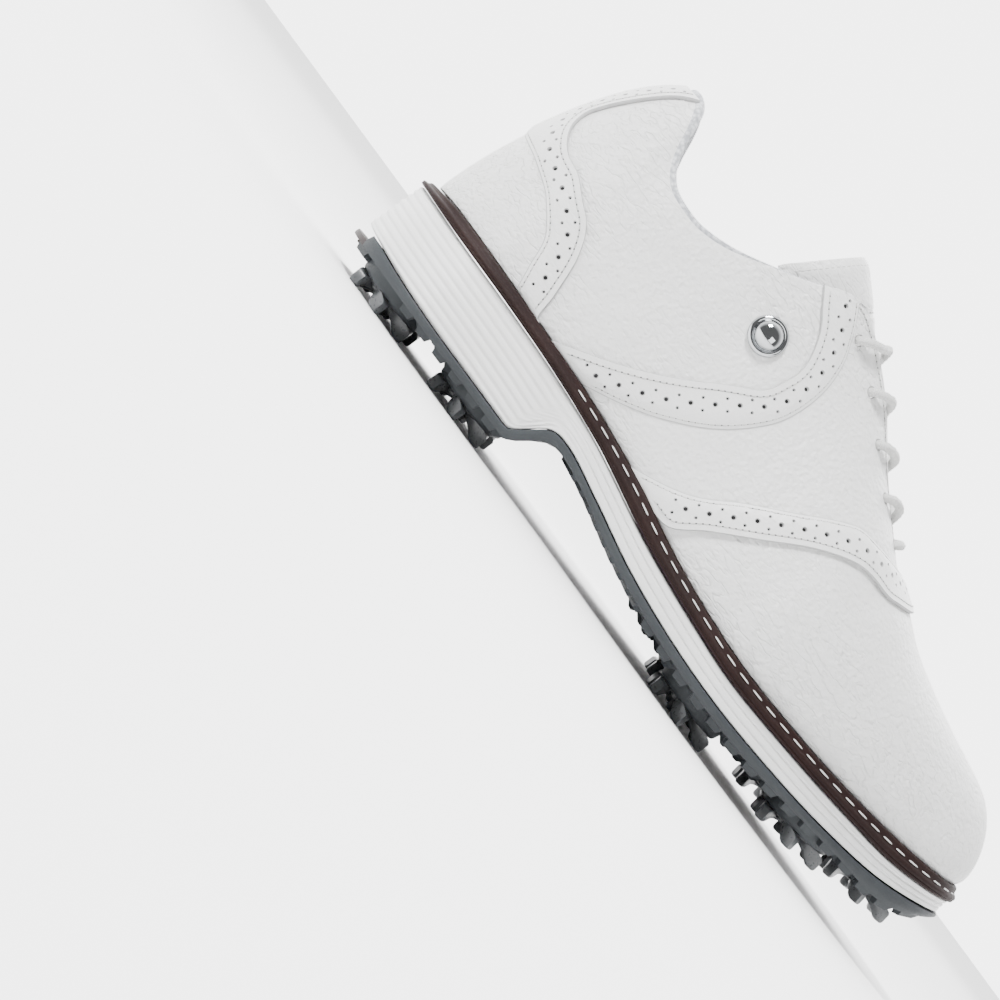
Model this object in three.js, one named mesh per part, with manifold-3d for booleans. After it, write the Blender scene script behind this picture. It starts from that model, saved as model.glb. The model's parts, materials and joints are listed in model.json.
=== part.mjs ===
// Right-foot golf shoe with nine twist-out soft spikes, in millimetres.
// X runs from heel to toe, +Y is the inner (medial) side, -Y the outer (lateral) side, +Z is up.
// Shapes are worked out with X = 0 at the back of the heel; the exported group is moved so that
// the origin lies under the middle of the shoe, on the ground that the spikes stand on.

import * as THREE from 'three';
import { mergeVertices } from 'three/addons/utils/BufferGeometryUtils.js';
import Module from 'manifold-3d';

const wasm = await Module();
wasm.setup();

// ---- Driving dimensions --------------------------------------------------------------------

const SOLE_LENGTH = 303;
const GAP = 0.3;
const LATERAL = -1;
const MEDIAL = 1;
const FAR = 90;

// Sole outline: distance from the heel, distance from the middle line.
const MEDIAL_RIM = [
  [0, -1.8], [4.3, 16.5], [12.7, 28.8], [24.3, 35.5], [54.3, 39.2], [87.7, 37.5], [107.7, 31.8],
  [121, 30.8], [137.7, 32.2], [151, 37.2], [167.7, 45.8], [187.7, 53.2], [217.7, 57.5],
  [237.7, 56.2], [254.3, 52.2], [271, 45.8], [284.3, 37.5], [294.3, 26.5], [301, 13.2], [303, 4.8],
];
const LATERAL_RIM = [
  [0, -1.8], [2.7, -16.8], [14.3, -33.5], [24.3, -39.2], [37.7, -44.5], [71, -45.8],
  [104.3, -46.2], [137.7, -50.5], [171, -55.8], [187.7, -57.5], [204.3, -56.2], [237.7, -47.8],
  [254.3, -40.8], [271, -32.8], [284.3, -25.8], [296, -15.8], [301, -6.8], [303, 4.8],
];

// Heights along the sole, each as distance from the heel and height above the ground.
const WELT_TOP = [
  [0, 40.4], [19, 41.7], [56, 41.1], [97, 39.4], [126, 36], [144, 32.6], [171, 29.2],
  [192, 28.2], [222, 29.5], [253, 32.6], [273, 35.6], [290, 39], [303, 42],
];
const MIDSOLE_TOP = [
  [0, 37.3], [19, 36.6], [53, 36.3], [76, 35.6], [103.5, 33.4], [144, 26.5], [171, 23.8],
  [192, 22.6], [222, 24.1], [253, 26.8], [273, 29.2], [290, 33.3], [303, 37.3],
];
const OUTSOLE_TOP = [
  [0, 15.3], [29, 13.2], [53, 12.6], [84, 12.6], [94, 23.8], [100, 25.1], [120.5, 22],
  [144, 17.6], [171, 14.9], [192, 14.3], [222, 15.6], [253, 18.7], [273, 22.1], [303, 31.6],
];
const OUTSOLE_RIM = [
  [0, 9.8], [86, 9.8], [97, 21], [101, 22], [144, 14.6], [171, 11.9], [192, 11.2],
  [222, 12.2], [239, 14.3], [260, 16.6], [287, 20.6], [303, 30.5],
];
const FOREFOOT_CROWN = 1.4;

// Upper: feather line and the top line, one row for each rib from heel (0) to toe (1).
const FEATHER_INSET = 5.5;
const FEATHER_RISE = 0.9;
const RIB_ROWS = 28;
const RIDGE_ROW = 17;
const RIB_STEPS = 6;
const TOP_X = [
  [0, 29.9], [0.08, 31.6], [0.14, 35.2], [0.19, 41], [0.24, 50], [0.3, 65], [0.36, 87],
  [0.4, 105], [0.5, 151.5], [0.6, 196.5], [0.7, 239], [0.8, 264], [0.9, 272.5], [1, 274.6],
];
const TOP_HALF_WIDTH = [
  [0, 0], [0.08, 11], [0.14, 19], [0.19, 25], [0.24, 29.5], [0.3, 32.5], [0.36, 31.5],
  [0.4, 26.5], [0.43, 20.5], [0.46, 15], [0.5, 12.8], [0.55, 11.2], [0.58, 8.5],
  [RIDGE_ROW / RIB_ROWS, 0],
];
const TOP_Z = [
  [29.9, 129.1], [33.5, 128.1], [36.6, 125.9], [40.9, 119.6], [44.1, 113.2], [48.4, 106.9],
  [52.6, 103.7], [59, 102], [65.3, 101.8], [78, 104.8], [92.9, 112.6], [106.5, 121.5],
  [115, 128.6], [122, 130.9], [131, 128.6], [140, 124.8], [152.4, 118.4], [172.4, 104.9],
  [188.3, 95.4], [200, 89.6], [213.8, 84.5], [225.7, 79.4], [239.2, 75.8], [252.8, 73],
  [273.2, 69.8], [303, 64],
];
const MIDDLE_Y = [
  [0, -1.8], [60, -3], [120, -4.5], [160, -2], [200, 0], [240, 3.5], [274, 5], [303, 4.8],
];
const LEATHER = 1.4;
const OVERLAY = { outer: 1.5, inner: GAP };
const BASE = { outer: 0, inner: -LEATHER };
const STIFFENER = { outer: -1.7, inner: -2.5 };
const LINING = { outer: -2.8, inner: -4 };
const COLLAR_PAD = 4.2;

// Seams of the base leather, seen from the side: [distance from heel, height].
const VAMP_SEAM = [
  [127, 28], [144, 46.5], [156, 59], [169, 71.5], [181, 81.5], [190, 84.2], [201, 84.2],
  [206.5, 87], [209, 96],
];
const SADDLE_SEAM = [
  [83, 35], [103, 56.5], [118, 70.5], [128, 82.5], [131.4, 92], [131.2, 102.5], [126.8, 113],
  [120, 119.6], [110, 124.5], [98, 130],
];
const COUNTER_SEAM = [
  [56.5, 30], [55.5, 41], [52.5, 51], [47.5, 62], [39.5, 70], [28, 75.5], [17, 79.3], [-8, 84],
];

// Perforated bands laid over those seams.
const REAR_BAND = {
  rear: [[73, 35], [95, 58], [112, 74], [123.5, 85.5], [126.2, 94], [125.9, 102.5],
    [120.5, 112.3], [114, 118.4], [106.5, 121.8], [92, 125.5]],
  front: [[91.5, 35], [112, 55], [124.5, 66.5], [133, 79.4], [136.4, 89.9], [136.4, 102.5],
    [133, 113.3], [127.9, 120.8], [118.4, 126.9], [104, 134]],
};
const FRONT_BAND = {
  rear: [[119, 29], [137.4, 47.5], [150, 60.1], [162.9, 71.9], [174.4, 82.5], [179.8, 86.9],
    [188.3, 88.2], [196, 88.2], [202.5, 90], [205, 98]],
  front: [[132, 27], [150, 45.5], [162.9, 58], [175.4, 69.9], [188.3, 78.4], [200.9, 79.4],
    [210, 78.7], [214.6, 81.5], [216, 98]],
};
const HEEL_BAND = {
  rear: [[51, 34], [47.2, 49.5], [42.1, 60], [33.6, 66.5], [20.7, 71.9], [-8, 79]],
  front: [[64, 34], [59, 51.6], [53.6, 64.5], [46.1, 73], [35.6, 78.4], [25.1, 81.4],
    [18.7, 86.9], [17, 94], [18.7, 100.4], [25.1, 113.3], [31.2, 123.9], [36, 136]],
};

// Spikes: place under the sole. A spike that `stands` is upright with its legs on the ground; the
// others are square to the sole. `onInsert` puts its boss on the forefoot insert, and `sunk` is how
// far its seat is let into the sole.
const SPIKES = [
  { name: 'heel_rear_medial', x: 27, y: 19.7, stands: true },
  { name: 'heel_rear_lateral', x: 27, y: -22.2, stands: true },
  { name: 'heel_front_medial', x: 71, y: 21.2, stands: true },
  { name: 'heel_front_lateral', x: 70, y: -24.5, stands: true },
  { name: 'ball_rear_medial', x: 193.2, y: 37.2, stands: true, onInsert: true },
  { name: 'ball_rear_lateral', x: 192.7, y: -31, stands: true },
  { name: 'ball_front_medial', x: 241.3, y: 38.5, onInsert: true },
  { name: 'ball_front_lateral', x: 245.7, y: -24.5 },
  { name: 'toe', x: 279.7, y: 11.5, sunk: 2.4 },
];
const SPIKE_DROP = 9.8;
const BOSS = { outer: 14, inner: 11.8, drop: 4 };
const SOCKET = { radius: 10, bore: 6.3, height: 8, roof: 1.5, foot: 1.2 };
const SPIKE = { disc: 11.3, stem: 5.9, stemTop: 6, holeRadius: 1.65, holeAt: 6.5, legs: 6 };
const ROUND = 12;

// Eyelets and lace. Each eyelet row is given by the distance from the heel of the facing's edge above
// it; the lace rises over the tongue by LACE_RISE where two strands cross.
const EYELET_X = [130, 146.2, 161.5, 177.1, 192];
const EYELET_FROM_EDGE = 7.5;
const EYELET_RADIUS = 2.8;
const LACE_RADIUS = 1.5;
const LACE_RISE = { over: 5.6, under: 2.1 };
const LACE_STEPS = 80;
const LACE_INSIDE = -LEATHER - LACE_RADIUS - 0.8;

// Tongue: middle line of its outer face from root to top, half-width and side drop along it.
const TONGUE_LINE = [
  [212, 77], [200, 82.8], [190, 88.8], [175, 98.6], [160, 108.4], [146, 118.6], [135.4, 127.4],
  [124.5, 134.8], [110.5, 142.9],
];
const TONGUE_HALF_WIDTH = [[0, 10], [0.15, 14], [0.45, 17.5], [0.75, 16.5], [1, 17.5]];
const TONGUE_DROP = [[0, 1.6], [0.2, 6.5], [0.5, 18], [0.75, 29], [1, 37]];
const TONGUE_THICKNESS = 5;
const TONGUE_SWEEP = 1.4;

const BADGE = { x: 111, z: 98.4, radius: 7 };

// ---- Finishes ------------------------------------------------------------------------------

function finish(color, roughness, metalness = 0) {
  return new THREE.MeshStandardMaterial({ color, roughness, metalness });
}

const FINISHES = {
  leather: finish(0xeeeeec, 0.45),
  band: finish(0xe6e6e4, 0.45),
  lining: finish(0xd8d9dc, 0.9),
  midsole: finish(0xf2f2f0, 0.5),
  welt: finish(0x3c2826, 0.5),
  rubber: finish(0x54595f, 0.6),
  insert: finish(0x402c2a, 0.6),
  spike: finish(0x7c7f82, 0.4),
  socket: finish(0x2c2e30, 0.6),
  board: finish(0xb79d78, 0.9),
  steel: finish(0x9a9da0, 0.35, 0.9),
  stiffener: finish(0xcfc8b8, 0.8),
  lace: finish(0xf0f0ee, 0.8),
  chrome: finish(0xd5d7d9, 0.12, 1),
};

// ---- Curves --------------------------------------------------------------------------------

function range(count) {
  return [...Array(count).keys()];
}

// Smooth curve through [x, y] points, read at x; it never overshoots and stays level beyond its ends.
function smooth(points, x) {
  const last = points.length - 1;
  if (x <= points[0][0]) return points[0][1];
  if (x >= points[last][0]) return points[last][1];
  const rise = (k) => (points[k + 1][1] - points[k][1]) / (points[k + 1][0] - points[k][0]);
  const slope = (k) => {
    if (k === 0) return rise(0);
    if (k === last) return rise(last - 1);
    if (rise(k - 1) * rise(k) <= 0) return 0;
    const before = points[k][0] - points[k - 1][0];
    const after = points[k + 1][0] - points[k][0];
    const mean = (rise(k - 1) * after + rise(k) * before) / (before + after);
    const most = 3 * Math.min(Math.abs(rise(k - 1)), Math.abs(rise(k)));
    return THREE.MathUtils.clamp(mean, -most, most);
  };
  let i = 0;
  while (x > points[i + 1][0]) i += 1;
  const width = points[i + 1][0] - points[i][0];
  const s = (x - points[i][0]) / width;
  const blend = s * s * (3 - 2 * s);
  const leave = s * (1 - s) * (1 - s) * width * slope(i);
  const arrive = s * s * (s - 1) * width * slope(i + 1);
  return points[i][1] * (1 - blend) + points[i + 1][1] * blend + leave + arrive;
}

function ease(from, to, x) {
  return THREE.MathUtils.smoothstep(x, from, to);
}

// The rims run from heel to toe with a turn angle, so that both ends come out round.
function turnAt(x) {
  return Math.acos(1 - (2 * THREE.MathUtils.clamp(x, 0, SOLE_LENGTH)) / SOLE_LENGTH) / Math.PI;
}

const RIMS = {
  [MEDIAL]: MEDIAL_RIM.map(([x, y]) => [turnAt(x), y]),
  [LATERAL]: LATERAL_RIM.map(([x, y]) => [turnAt(x), y]),
};

function rimPoint(side, u) {
  const x = (SOLE_LENGTH / 2) * (1 - Math.cos(Math.PI * u));
  return new THREE.Vector2(x, smooth(RIMS[side], u));
}

// Point of the sole outline moved inwards, at the turn u from heel (0) to toe (1).
function rim(side, u, inset = 0) {
  const step = 0.004;
  const ahead = rimPoint(side, Math.min(u + step, 1));
  const behind = rimPoint(side, Math.max(u - step, 0));
  const along = ahead.sub(behind).normalize();
  if (u <= 0) along.set(0, side);
  if (u >= 1) along.set(0, -side);
  const inwards = new THREE.Vector2(side * along.y, -side * along.x);
  return rimPoint(side, u).add(inwards.multiplyScalar(inset));
}

function curve(points, count = 14) {
  return new THREE.SplineCurve(points.map(([x, y]) => new THREE.Vector2(x, y))).getPoints(count);
}

// A line moved sideways; positive distances go to the right of its direction.
function shifted(line, distance) {
  return line.map((point, k) => {
    const ahead = line[Math.min(k + 1, line.length - 1)];
    const behind = line[Math.max(k - 1, 0)];
    const along = ahead.clone().sub(behind).normalize();
    return new THREE.Vector2(point.x + along.y * distance, point.y - along.x * distance);
  });
}

// ---- Solids --------------------------------------------------------------------------------

function solidOf(geometry) {
  const bare = geometry.clone();
  bare.deleteAttribute('normal');
  bare.deleteAttribute('uv');
  const merged = mergeVertices(bare, 1e-4);
  const corners = merged.index.array;
  const kept = [];
  for (let i = 0; i < corners.length; i += 3) {
    const [a, b, c] = corners.slice(i, i + 3);
    if (a !== b && b !== c && c !== a) kept.push(a, b, c);
  }
  const vertProperties = new Float32Array(merged.attributes.position.array);
  const triVerts = new Uint32Array(kept);
  return new wasm.Manifold(new wasm.Mesh({ numProp: 3, vertProperties, triVerts }));
}

function geometryOf(solid) {
  const mesh = solid.getMesh();
  const geometry = new THREE.BufferGeometry();
  geometry.setAttribute('position', new THREE.BufferAttribute(mesh.vertProperties, 3));
  geometry.setIndex(new THREE.BufferAttribute(mesh.triVerts, 1));
  geometry.computeVertexNormals();
  return geometry;
}

// Closed solid between two matching layers of points. Points that lie together are one point,
// and every edge that only one cell uses gets a wall between the layers.
function layeredSolid(outer, inner, cells) {
  const seen = new Map();
  const ids = outer.map((point, i) => {
    const key = point.toArray().map((value) => value.toFixed(3)).join();
    if (!seen.has(key)) seen.set(key, i);
    return seen.get(key);
  });
  const under = outer.length;
  const faces = [];
  const edges = new Set();
  for (const cell of cells) {
    const ring = cell.map((i) => ids[i]).filter((id, k, all) => id !== all[(k + 1) % all.length]);
    if (ring.length < 3) continue;
    for (let k = 1; k + 1 < ring.length; k += 1) {
      faces.push(ring[0], ring[k], ring[k + 1]);
      faces.push(ring[0] + under, ring[k + 1] + under, ring[k] + under);
    }
    ring.forEach((id, k) => edges.add(`${id},${ring[(k + 1) % ring.length]}`));
  }
  for (const edge of edges) {
    const [a, b] = edge.split(',').map(Number);
    if (edges.has(`${b},${a}`)) continue;
    faces.push(b, a, a + under, b, a + under, b + under);
  }
  const geometry = new THREE.BufferGeometry().setFromPoints([...outer, ...inner]);
  geometry.setIndex(faces);
  return solidOf(geometry);
}

// Layered solid over a grid of rows; the outer layer faces along rows x columns.
function gridSolid(outerRows, innerRows) {
  const wide = outerRows[0].length;
  const cells = [];
  for (let r = 0; r + 1 < outerRows.length; r += 1) {
    for (let c = 0; c + 1 < wide; c += 1) {
      const a = r * wide + c;
      cells.push([a, a + wide, a + wide + 1, a + 1]);
    }
  }
  return layeredSolid(outerRows.flat(), innerRows.flat(), cells);
}

// Upright wall of space over a side-view outline, from one Y to another.
function sidePrism(outline, yFrom, yTo) {
  const options = { depth: yTo - yFrom, bevelEnabled: false };
  const geometry = new THREE.ExtrudeGeometry(new THREE.Shape(outline), options);
  geometry.rotateX(Math.PI / 2);
  geometry.translate(0, yTo, 0);
  return solidOf(geometry);
}

// Column of space over a plan-view outline, from one height to another.
function planPrism(outline, zFrom, zTo) {
  const options = { depth: zTo - zFrom, bevelEnabled: false };
  const geometry = new THREE.ExtrudeGeometry(new THREE.Shape(outline), options);
  geometry.translate(0, 0, zFrom);
  return solidOf(geometry);
}

// Turned solid about local Z from a closed [radius, height] profile.
function turned(profile, segments = ROUND) {
  const points = [...profile, profile[0]].map(([r, z]) => new THREE.Vector2(r, z));
  const geometry = new THREE.LatheGeometry(points, segments);
  geometry.rotateX(Math.PI / 2);
  const solid = solidOf(geometry);
  return solid.volume() < 0 ? solidOf(flipped(geometry)) : solid;
}

function flipped(geometry) {
  const copy = geometry.clone();
  const corners = copy.index.array;
  for (let i = 0; i < corners.length; i += 3) {
    [corners[i], corners[i + 1]] = [corners[i + 1], corners[i]];
  }
  return copy;
}

function post(radius, zFrom, zTo, segments = ROUND) {
  return turned([[0, zFrom], [radius, zFrom], [radius, zTo], [0, zTo]], segments);
}

function moved(solid, matrix) {
  return solid.transform(matrix.elements);
}

// ---- Sole stack ----------------------------------------------------------------------------

const EVEN_STATIONS = 24;
const HEEL_BREAST_STATIONS = [85, 89, 93, 97, 101];
const SOLE_STATIONS = [
  ...range(EVEN_STATIONS + 1).map((i) => i / EVEN_STATIONS),
  ...HEEL_BREAST_STATIONS.map(turnAt),
].sort((a, b) => a - b);

// How far each layer of the sole stands in from the outline.
const INSET = {
  insert: 0.4, midsole: 1.1, shank: 12, welt: 0.4, weltInside: 9.2, insoleBoard: 9.6, sockliner: 10.6,
};
const INSOLE_BOARD_THICKNESS = 2.4;
const SOCKLINER_THICKNESS = 4.3;
const SHANK_THICKNESS = 1.6;
const SHANK_CENTRE = new THREE.Vector2(120, -2);
const SHANK = [
  [72, 0], [78, 8], [120, 2], [160, 9], [168, 2], [160, -6], [120, -12], [78, -11], [72, 0],
];

function soleRows(inset, columns, height) {
  return SOLE_STATIONS.map((u) => {
    const from = rim(LATERAL, u, inset);
    const to = rim(MEDIAL, u, inset);
    return range(columns + 1).map((c) => {
      const point = from.clone().lerp(to, c / columns);
      return new THREE.Vector3(point.x, point.y, height(point.x, point.y));
    });
  });
}

function soleSlab(inset, columns, bottom, top) {
  return gridSolid(soleRows(inset, columns, top), soleRows(inset, columns, bottom));
}

const weltTop = (x) => smooth(WELT_TOP, x);
const midsoleTop = (x) => smooth(MIDSOLE_TOP, x);
const outsoleTop = (x) => smooth(OUTSOLE_TOP, x);

// Underside of the sole: the rim height, lowered a little in the middle of the forefoot.
function soleUnderside(x, y) {
  const u = turnAt(x);
  const lateral = rim(LATERAL, u).y;
  const medial = rim(MEDIAL, u).y;
  const across = THREE.MathUtils.clamp((2 * (y - lateral)) / Math.max(medial - lateral, 1) - 1, -1, 1);
  const reach = ease(140, 165, x) * (1 - ease(225, 262, x));
  return smooth(OUTSOLE_RIM, x) - FOREFOOT_CROWN * reach * (1 - across ** 6);
}

const INSERT_THICKNESS = 1.9;
const FOREFOOT_INSERT = [
  [152.7, 24.2], [159, 33], [164, 48], [190, 62], [262, 56], [264, 44], [264, 33.5], [260, 23],
  [252, 14.5], [239, 8.9], [220, 8], [201, 10.5], [181, 16], [166, 21],
];
const HEEL_INSERT = [
  [-3, 24], [7.7, 23], [11.2, 17.4], [13, 12.5], [17, 7], [19.4, -1], [16.8, -9.5], [13.2, -15.5],
  [10.8, -21], [7.5, -26.5], [-3, -27],
];

function planOutline(points, grow = 0) {
  const corners = points.map(([x, y]) => new THREE.Vector2(x, y));
  const sum = corners.reduce((total, p) => total.add(p), new THREE.Vector2());
  const middle = sum.divideScalar(corners.length);
  return corners.map((p) => p.clone().sub(middle).setLength(grow).add(p));
}

function plateUnderSole(outline, thickness, grow = 0) {
  const inset = grow > 0 ? -1.5 : INSET.insert;
  const bottom = (x, y) => soleUnderside(x, y) - 2 * grow;
  const top = (x, y) => soleUnderside(x, y) + thickness + grow;
  return soleSlab(inset, 4, bottom, top).intersect(planPrism(planOutline(outline, grow), 0, FAR));
}

// Rounded plate let into the waist of the sole.
const WAIST_PLATE = {
  x: 122.7, y: -6, halfLength: 20.5, halfWidth: 7, turn: -0.06, squareness: 0.22, corners: 28,
  thickness: 1.2, sunk: 0.4,
};

function waistOutline(grow = 0) {
  const { x, y, halfLength, halfWidth, turn, squareness, corners } = WAIST_PLATE;
  const squared = (value) => Math.sign(value) * Math.abs(value) ** squareness;
  const centre = new THREE.Vector2(x, y);
  return range(corners).map((k) => {
    const angle = (k / corners) * 2 * Math.PI;
    const along = (halfLength + grow) * squared(Math.cos(angle));
    const across = (halfWidth + grow) * squared(Math.sin(angle));
    return new THREE.Vector2(x + along, y + across).rotateAround(centre, turn);
  });
}

function waistPlateSolid(grow) {
  const { thickness, sunk } = WAIST_PLATE;
  const bottom = (x, y) => soleUnderside(x, y) + (grow > 0 ? -2 : sunk);
  const top = (x, y) => soleUnderside(x, y) + sunk + thickness + grow;
  return soleSlab(0, 4, bottom, top).intersect(planPrism(waistOutline(grow), 0, FAR));
}

// ---- Spikes and their sockets --------------------------------------------------------------

function spikeMatrix(spike) {
  const { x, y } = spike;
  const step = 4;
  const rise = soleUnderside(x + step, y) - soleUnderside(x - step, y);
  const climb = spike.stands ? 0 : Math.atan2(rise, 2 * step);
  const z = spike.stands ? SPIKE_DROP : soleUnderside(x, y) + (spike.sunk ?? 0);
  const turn = new THREE.Matrix4().makeRotationY(-climb);
  return new THREE.Matrix4().makeTranslation(x, y, z).multiply(turn);
}

function bossRing() {
  return turned([
    [BOSS.inner, 1.2], [BOSS.inner, -BOSS.drop], [BOSS.outer - 0.8, -BOSS.drop],
    [BOSS.outer, 0.8 - BOSS.drop], [BOSS.outer + 0.6, 1.2],
  ], 14);
}

function socketSolid() {
  const { radius, bore, height, roof, foot } = SOCKET;
  return turned([
    [0, height], [radius, height], [radius, -foot], [bore, -foot], [bore, height - roof],
    [0, height - roof],
  ]);
}

function spikeLeg() {
  const profile = [
    [4.6, -3.4], [11.6, -4.4], [14.5, -5.2], [14.6, -SPIKE_DROP], [11.9, -SPIKE_DROP], [8.6, -6.2],
  ];
  const halfWidth = 2.1;
  const swirl = 1.6;
  const outline = profile.map(([r, z]) => new THREE.Vector2(r, z));
  return sidePrism(outline, swirl - halfWidth, swirl + halfWidth);
}

function spikeSolid() {
  const { disc, stem, stemTop, holeRadius, holeAt, legs } = SPIKE;
  let solid = turned([
    [0, -4.9], [disc - 3, -4.7], [disc, -3.7], [disc, -1.7], [stem, -1.7], [stem, stemTop],
    [0, stemTop],
  ]);
  for (const k of range(legs)) {
    const turn = new THREE.Matrix4().makeRotationZ((2 * Math.PI * k) / legs);
    solid = solid.add(moved(spikeLeg(), turn));
  }
  const halfStep = Math.PI / legs;
  for (const angle of [halfStep, halfStep + Math.PI]) {
    const [x, y] = [holeAt * Math.cos(angle), holeAt * Math.sin(angle)];
    const wrenchHole = post(holeRadius, -SPIKE_DROP, -2.6, 6);
    solid = solid.subtract(moved(wrenchHole, new THREE.Matrix4().makeTranslation(x, y, 0)));
  }
  return solid;
}

// ---- Upper surface -------------------------------------------------------------------------

// Side wall of the heel and quarter: [inward travel, rise], both from 0 to 1.
function wallForm(v) {
  return [0.75 * v ** 1.9 + 0.25 * v ** 9, v];
}

// Arch over the foot: part of a superellipse that ends at the angle `last`.
function archForm(v, power, last) {
  const angle = v * last;
  const travel = (a) => 1 - Math.max(Math.cos(a), 0) ** (2 / power);
  const rise = (a) => Math.sin(a) ** (2 / power);
  return [travel(angle) / travel(last), rise(angle) / rise(last)];
}

// Point of the upper's outer face: u from heel to toe, v from the feather line to the top edge.
function upperPoint(side, u, v) {
  const foot = rim(side, u, FEATHER_INSET);
  const topX = smooth(TOP_X, u);
  const topY = smooth(MIDDLE_Y, topX) + side * smooth(TOP_HALF_WIDTH, u);
  const archShare = ease(70, 150, topX);
  const power = 1.7 + 0.7 * ease(110, 235, topX);
  const last = Math.PI * (0.36 + 0.14 * ease(150, 200, topX));
  const [wallIn, wallUp] = wallForm(v);
  const [archIn, archUp] = archForm(v, power, last);
  const inward = THREE.MathUtils.lerp(wallIn, archIn, archShare);
  const up = THREE.MathUtils.lerp(wallUp, archUp, archShare);
  const bulge = (0.4 + 2.2 * ease(30, 110, topX)) * Math.sin(Math.PI * up ** 0.6) * (1 - up);
  const outward = new THREE.Vector2(foot.x - topX, foot.y - topY).normalize().multiplyScalar(bulge);
  const x = THREE.MathUtils.lerp(foot.x, topX, inward) + outward.x;
  const y = THREE.MathUtils.lerp(foot.y, topY, inward) + outward.y;
  const footZ = weltTop(foot.x) + FEATHER_RISE;
  const topZ = smooth(TOP_Z, topX > 215 ? x : topX);
  return new THREE.Vector3(x, y, THREE.MathUtils.lerp(footZ, topZ, up));
}

function sideNormal(side, u, v) {
  const step = 0.006;
  const u0 = THREE.MathUtils.clamp(u, 2 * step, 1 - 2 * step);
  const v0 = THREE.MathUtils.clamp(v, 2 * step, 1 - 2 * step);
  const along = upperPoint(side, u0 + step, v0).sub(upperPoint(side, u0 - step, v0));
  const up = upperPoint(side, u0, v0 + step).sub(upperPoint(side, u0, v0 - step));
  return along.cross(up).multiplyScalar(-side).normalize();
}

function isShared(u, v) {
  return u <= 0 || u >= 1 || (v >= 1 && u >= (RIDGE_ROW - 0.01) / RIB_ROWS);
}

// Outward normal; where both sides meet it is the mean of the two.
function upperNormal(side, u, v) {
  const normal = sideNormal(side, u, v);
  return isShared(u, v) ? normal.add(sideNormal(-side, u, v)).normalize() : normal;
}

function offsetPoint(side, u, v, distance) {
  return upperPoint(side, u, v).addScaledVector(upperNormal(side, u, v), distance);
}

// Closed shell of the whole upper between two offsets, each a number or a function of (u, v).
function upperShell({ outer, inner }) {
  const rows = range(RIB_ROWS + 1).map((i) => i / RIB_ROWS);
  const heights = range(RIB_STEPS + 1).map((j) => j / RIB_STEPS);
  const columns = RIB_STEPS;
  const at = (offset, u, v) => (typeof offset === 'function' ? offset(u, v) : offset);
  const layers = { outer: [], inner: [] };
  const cells = [];
  for (const side of [LATERAL, MEDIAL]) {
    const first = layers.outer.length;
    for (const u of rows) {
      for (const v of heights) {
        layers.outer.push(offsetPoint(side, u, v, at(outer, u, v)));
        layers.inner.push(offsetPoint(side, u, v, at(inner, u, v)));
      }
    }
    for (let i = 0; i + 1 < rows.length; i += 1) {
      for (let j = 0; j < columns; j += 1) {
        const a = first + i * (columns + 1) + j;
        const cell = [a, a + columns + 1, a + columns + 2, a + 1];
        cells.push(side === LATERAL ? cell : cell.reverse());
      }
    }
  }
  return layeredSolid(layers.outer, layers.inner, cells);
}

// Half of space on one side of the shoe, a hair clear of the plane that parts the two halves.
function halfRange(side, middle) {
  const edge = middle + side * (GAP / 2 + 0.05);
  return side === LATERAL ? [-FAR, edge] : [edge, FAR];
}

function between(rear, front) {
  return [...rear, ...[...front].reverse()];
}

// ---- Lace and tongue -----------------------------------------------------------------------

// The height v at which the surface is `distance` away from the top edge, measured along the rib.
function belowEdge(side, u, distance) {
  let v = 1;
  let length = 0;
  let last = upperPoint(side, u, v);
  while (length < distance) {
    v -= 0.004;
    const next = upperPoint(side, u, v);
    length += next.distanceTo(last);
    last = next;
  }
  return v;
}

// Rib whose top edge lies at this distance from the heel.
function ribAt(x) {
  let low = 0.2;
  let high = 0.9;
  for (const _ of range(30)) {
    const middle = (low + high) / 2;
    if (smooth(TOP_X, middle) < x) low = middle;
    else high = middle;
  }
  return (low + high) / 2;
}

function eyelet(side, row) {
  const u = ribAt(EYELET_X[row]);
  return { side, u, v: belowEdge(side, u, EYELET_FROM_EDGE) };
}

function tongueFrame(s) {
  const line = TONGUE_LINE.map(([x, z]) => new THREE.Vector2(x, z));
  const spline = new THREE.SplineCurve(line);
  const point = spline.getPoint(s);
  const along = spline.getTangent(s);
  return { point, out: new THREE.Vector2(along.y, -along.x) };
}

function tonguePoint(s, across, depth) {
  const { point, out } = tongueFrame(s);
  const half = smooth(TONGUE_HALF_WIDTH, s);
  const drop = smooth(TONGUE_DROP, s);
  const angle = across * TONGUE_SWEEP;
  const taper = 1 - 0.75 * Math.abs(across) ** 4;
  const inset = depth * taper;
  const fall = (drop - inset) * (1 - Math.cos(angle)) + inset;
  const y = smooth(MIDDLE_Y, point.x) + (half - inset) * Math.sin(angle);
  return new THREE.Vector3(point.x - out.x * fall, y, point.y - out.y * fall);
}

function tongueSolid(outerDepth, innerDepth) {
  const rows = 12;
  const columns = 8;
  const layer = (depth) => range(rows + 1).map((i) => {
    const s = i / rows;
    const roundEnd = depth * (1 - 0.6 * ease(0.94, 1, s));
    return range(columns + 1).map((j) => tonguePoint(s, 1 - (2 * j) / columns, roundEnd));
  });
  return gridSolid(layer(outerDepth), layer(innerDepth));
}

// Height of the tongue's outer face on the middle line, at a distance from the heel.
function tongueHeight(x) {
  return smooth([...TONGUE_LINE].reverse(), x);
}

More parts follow.
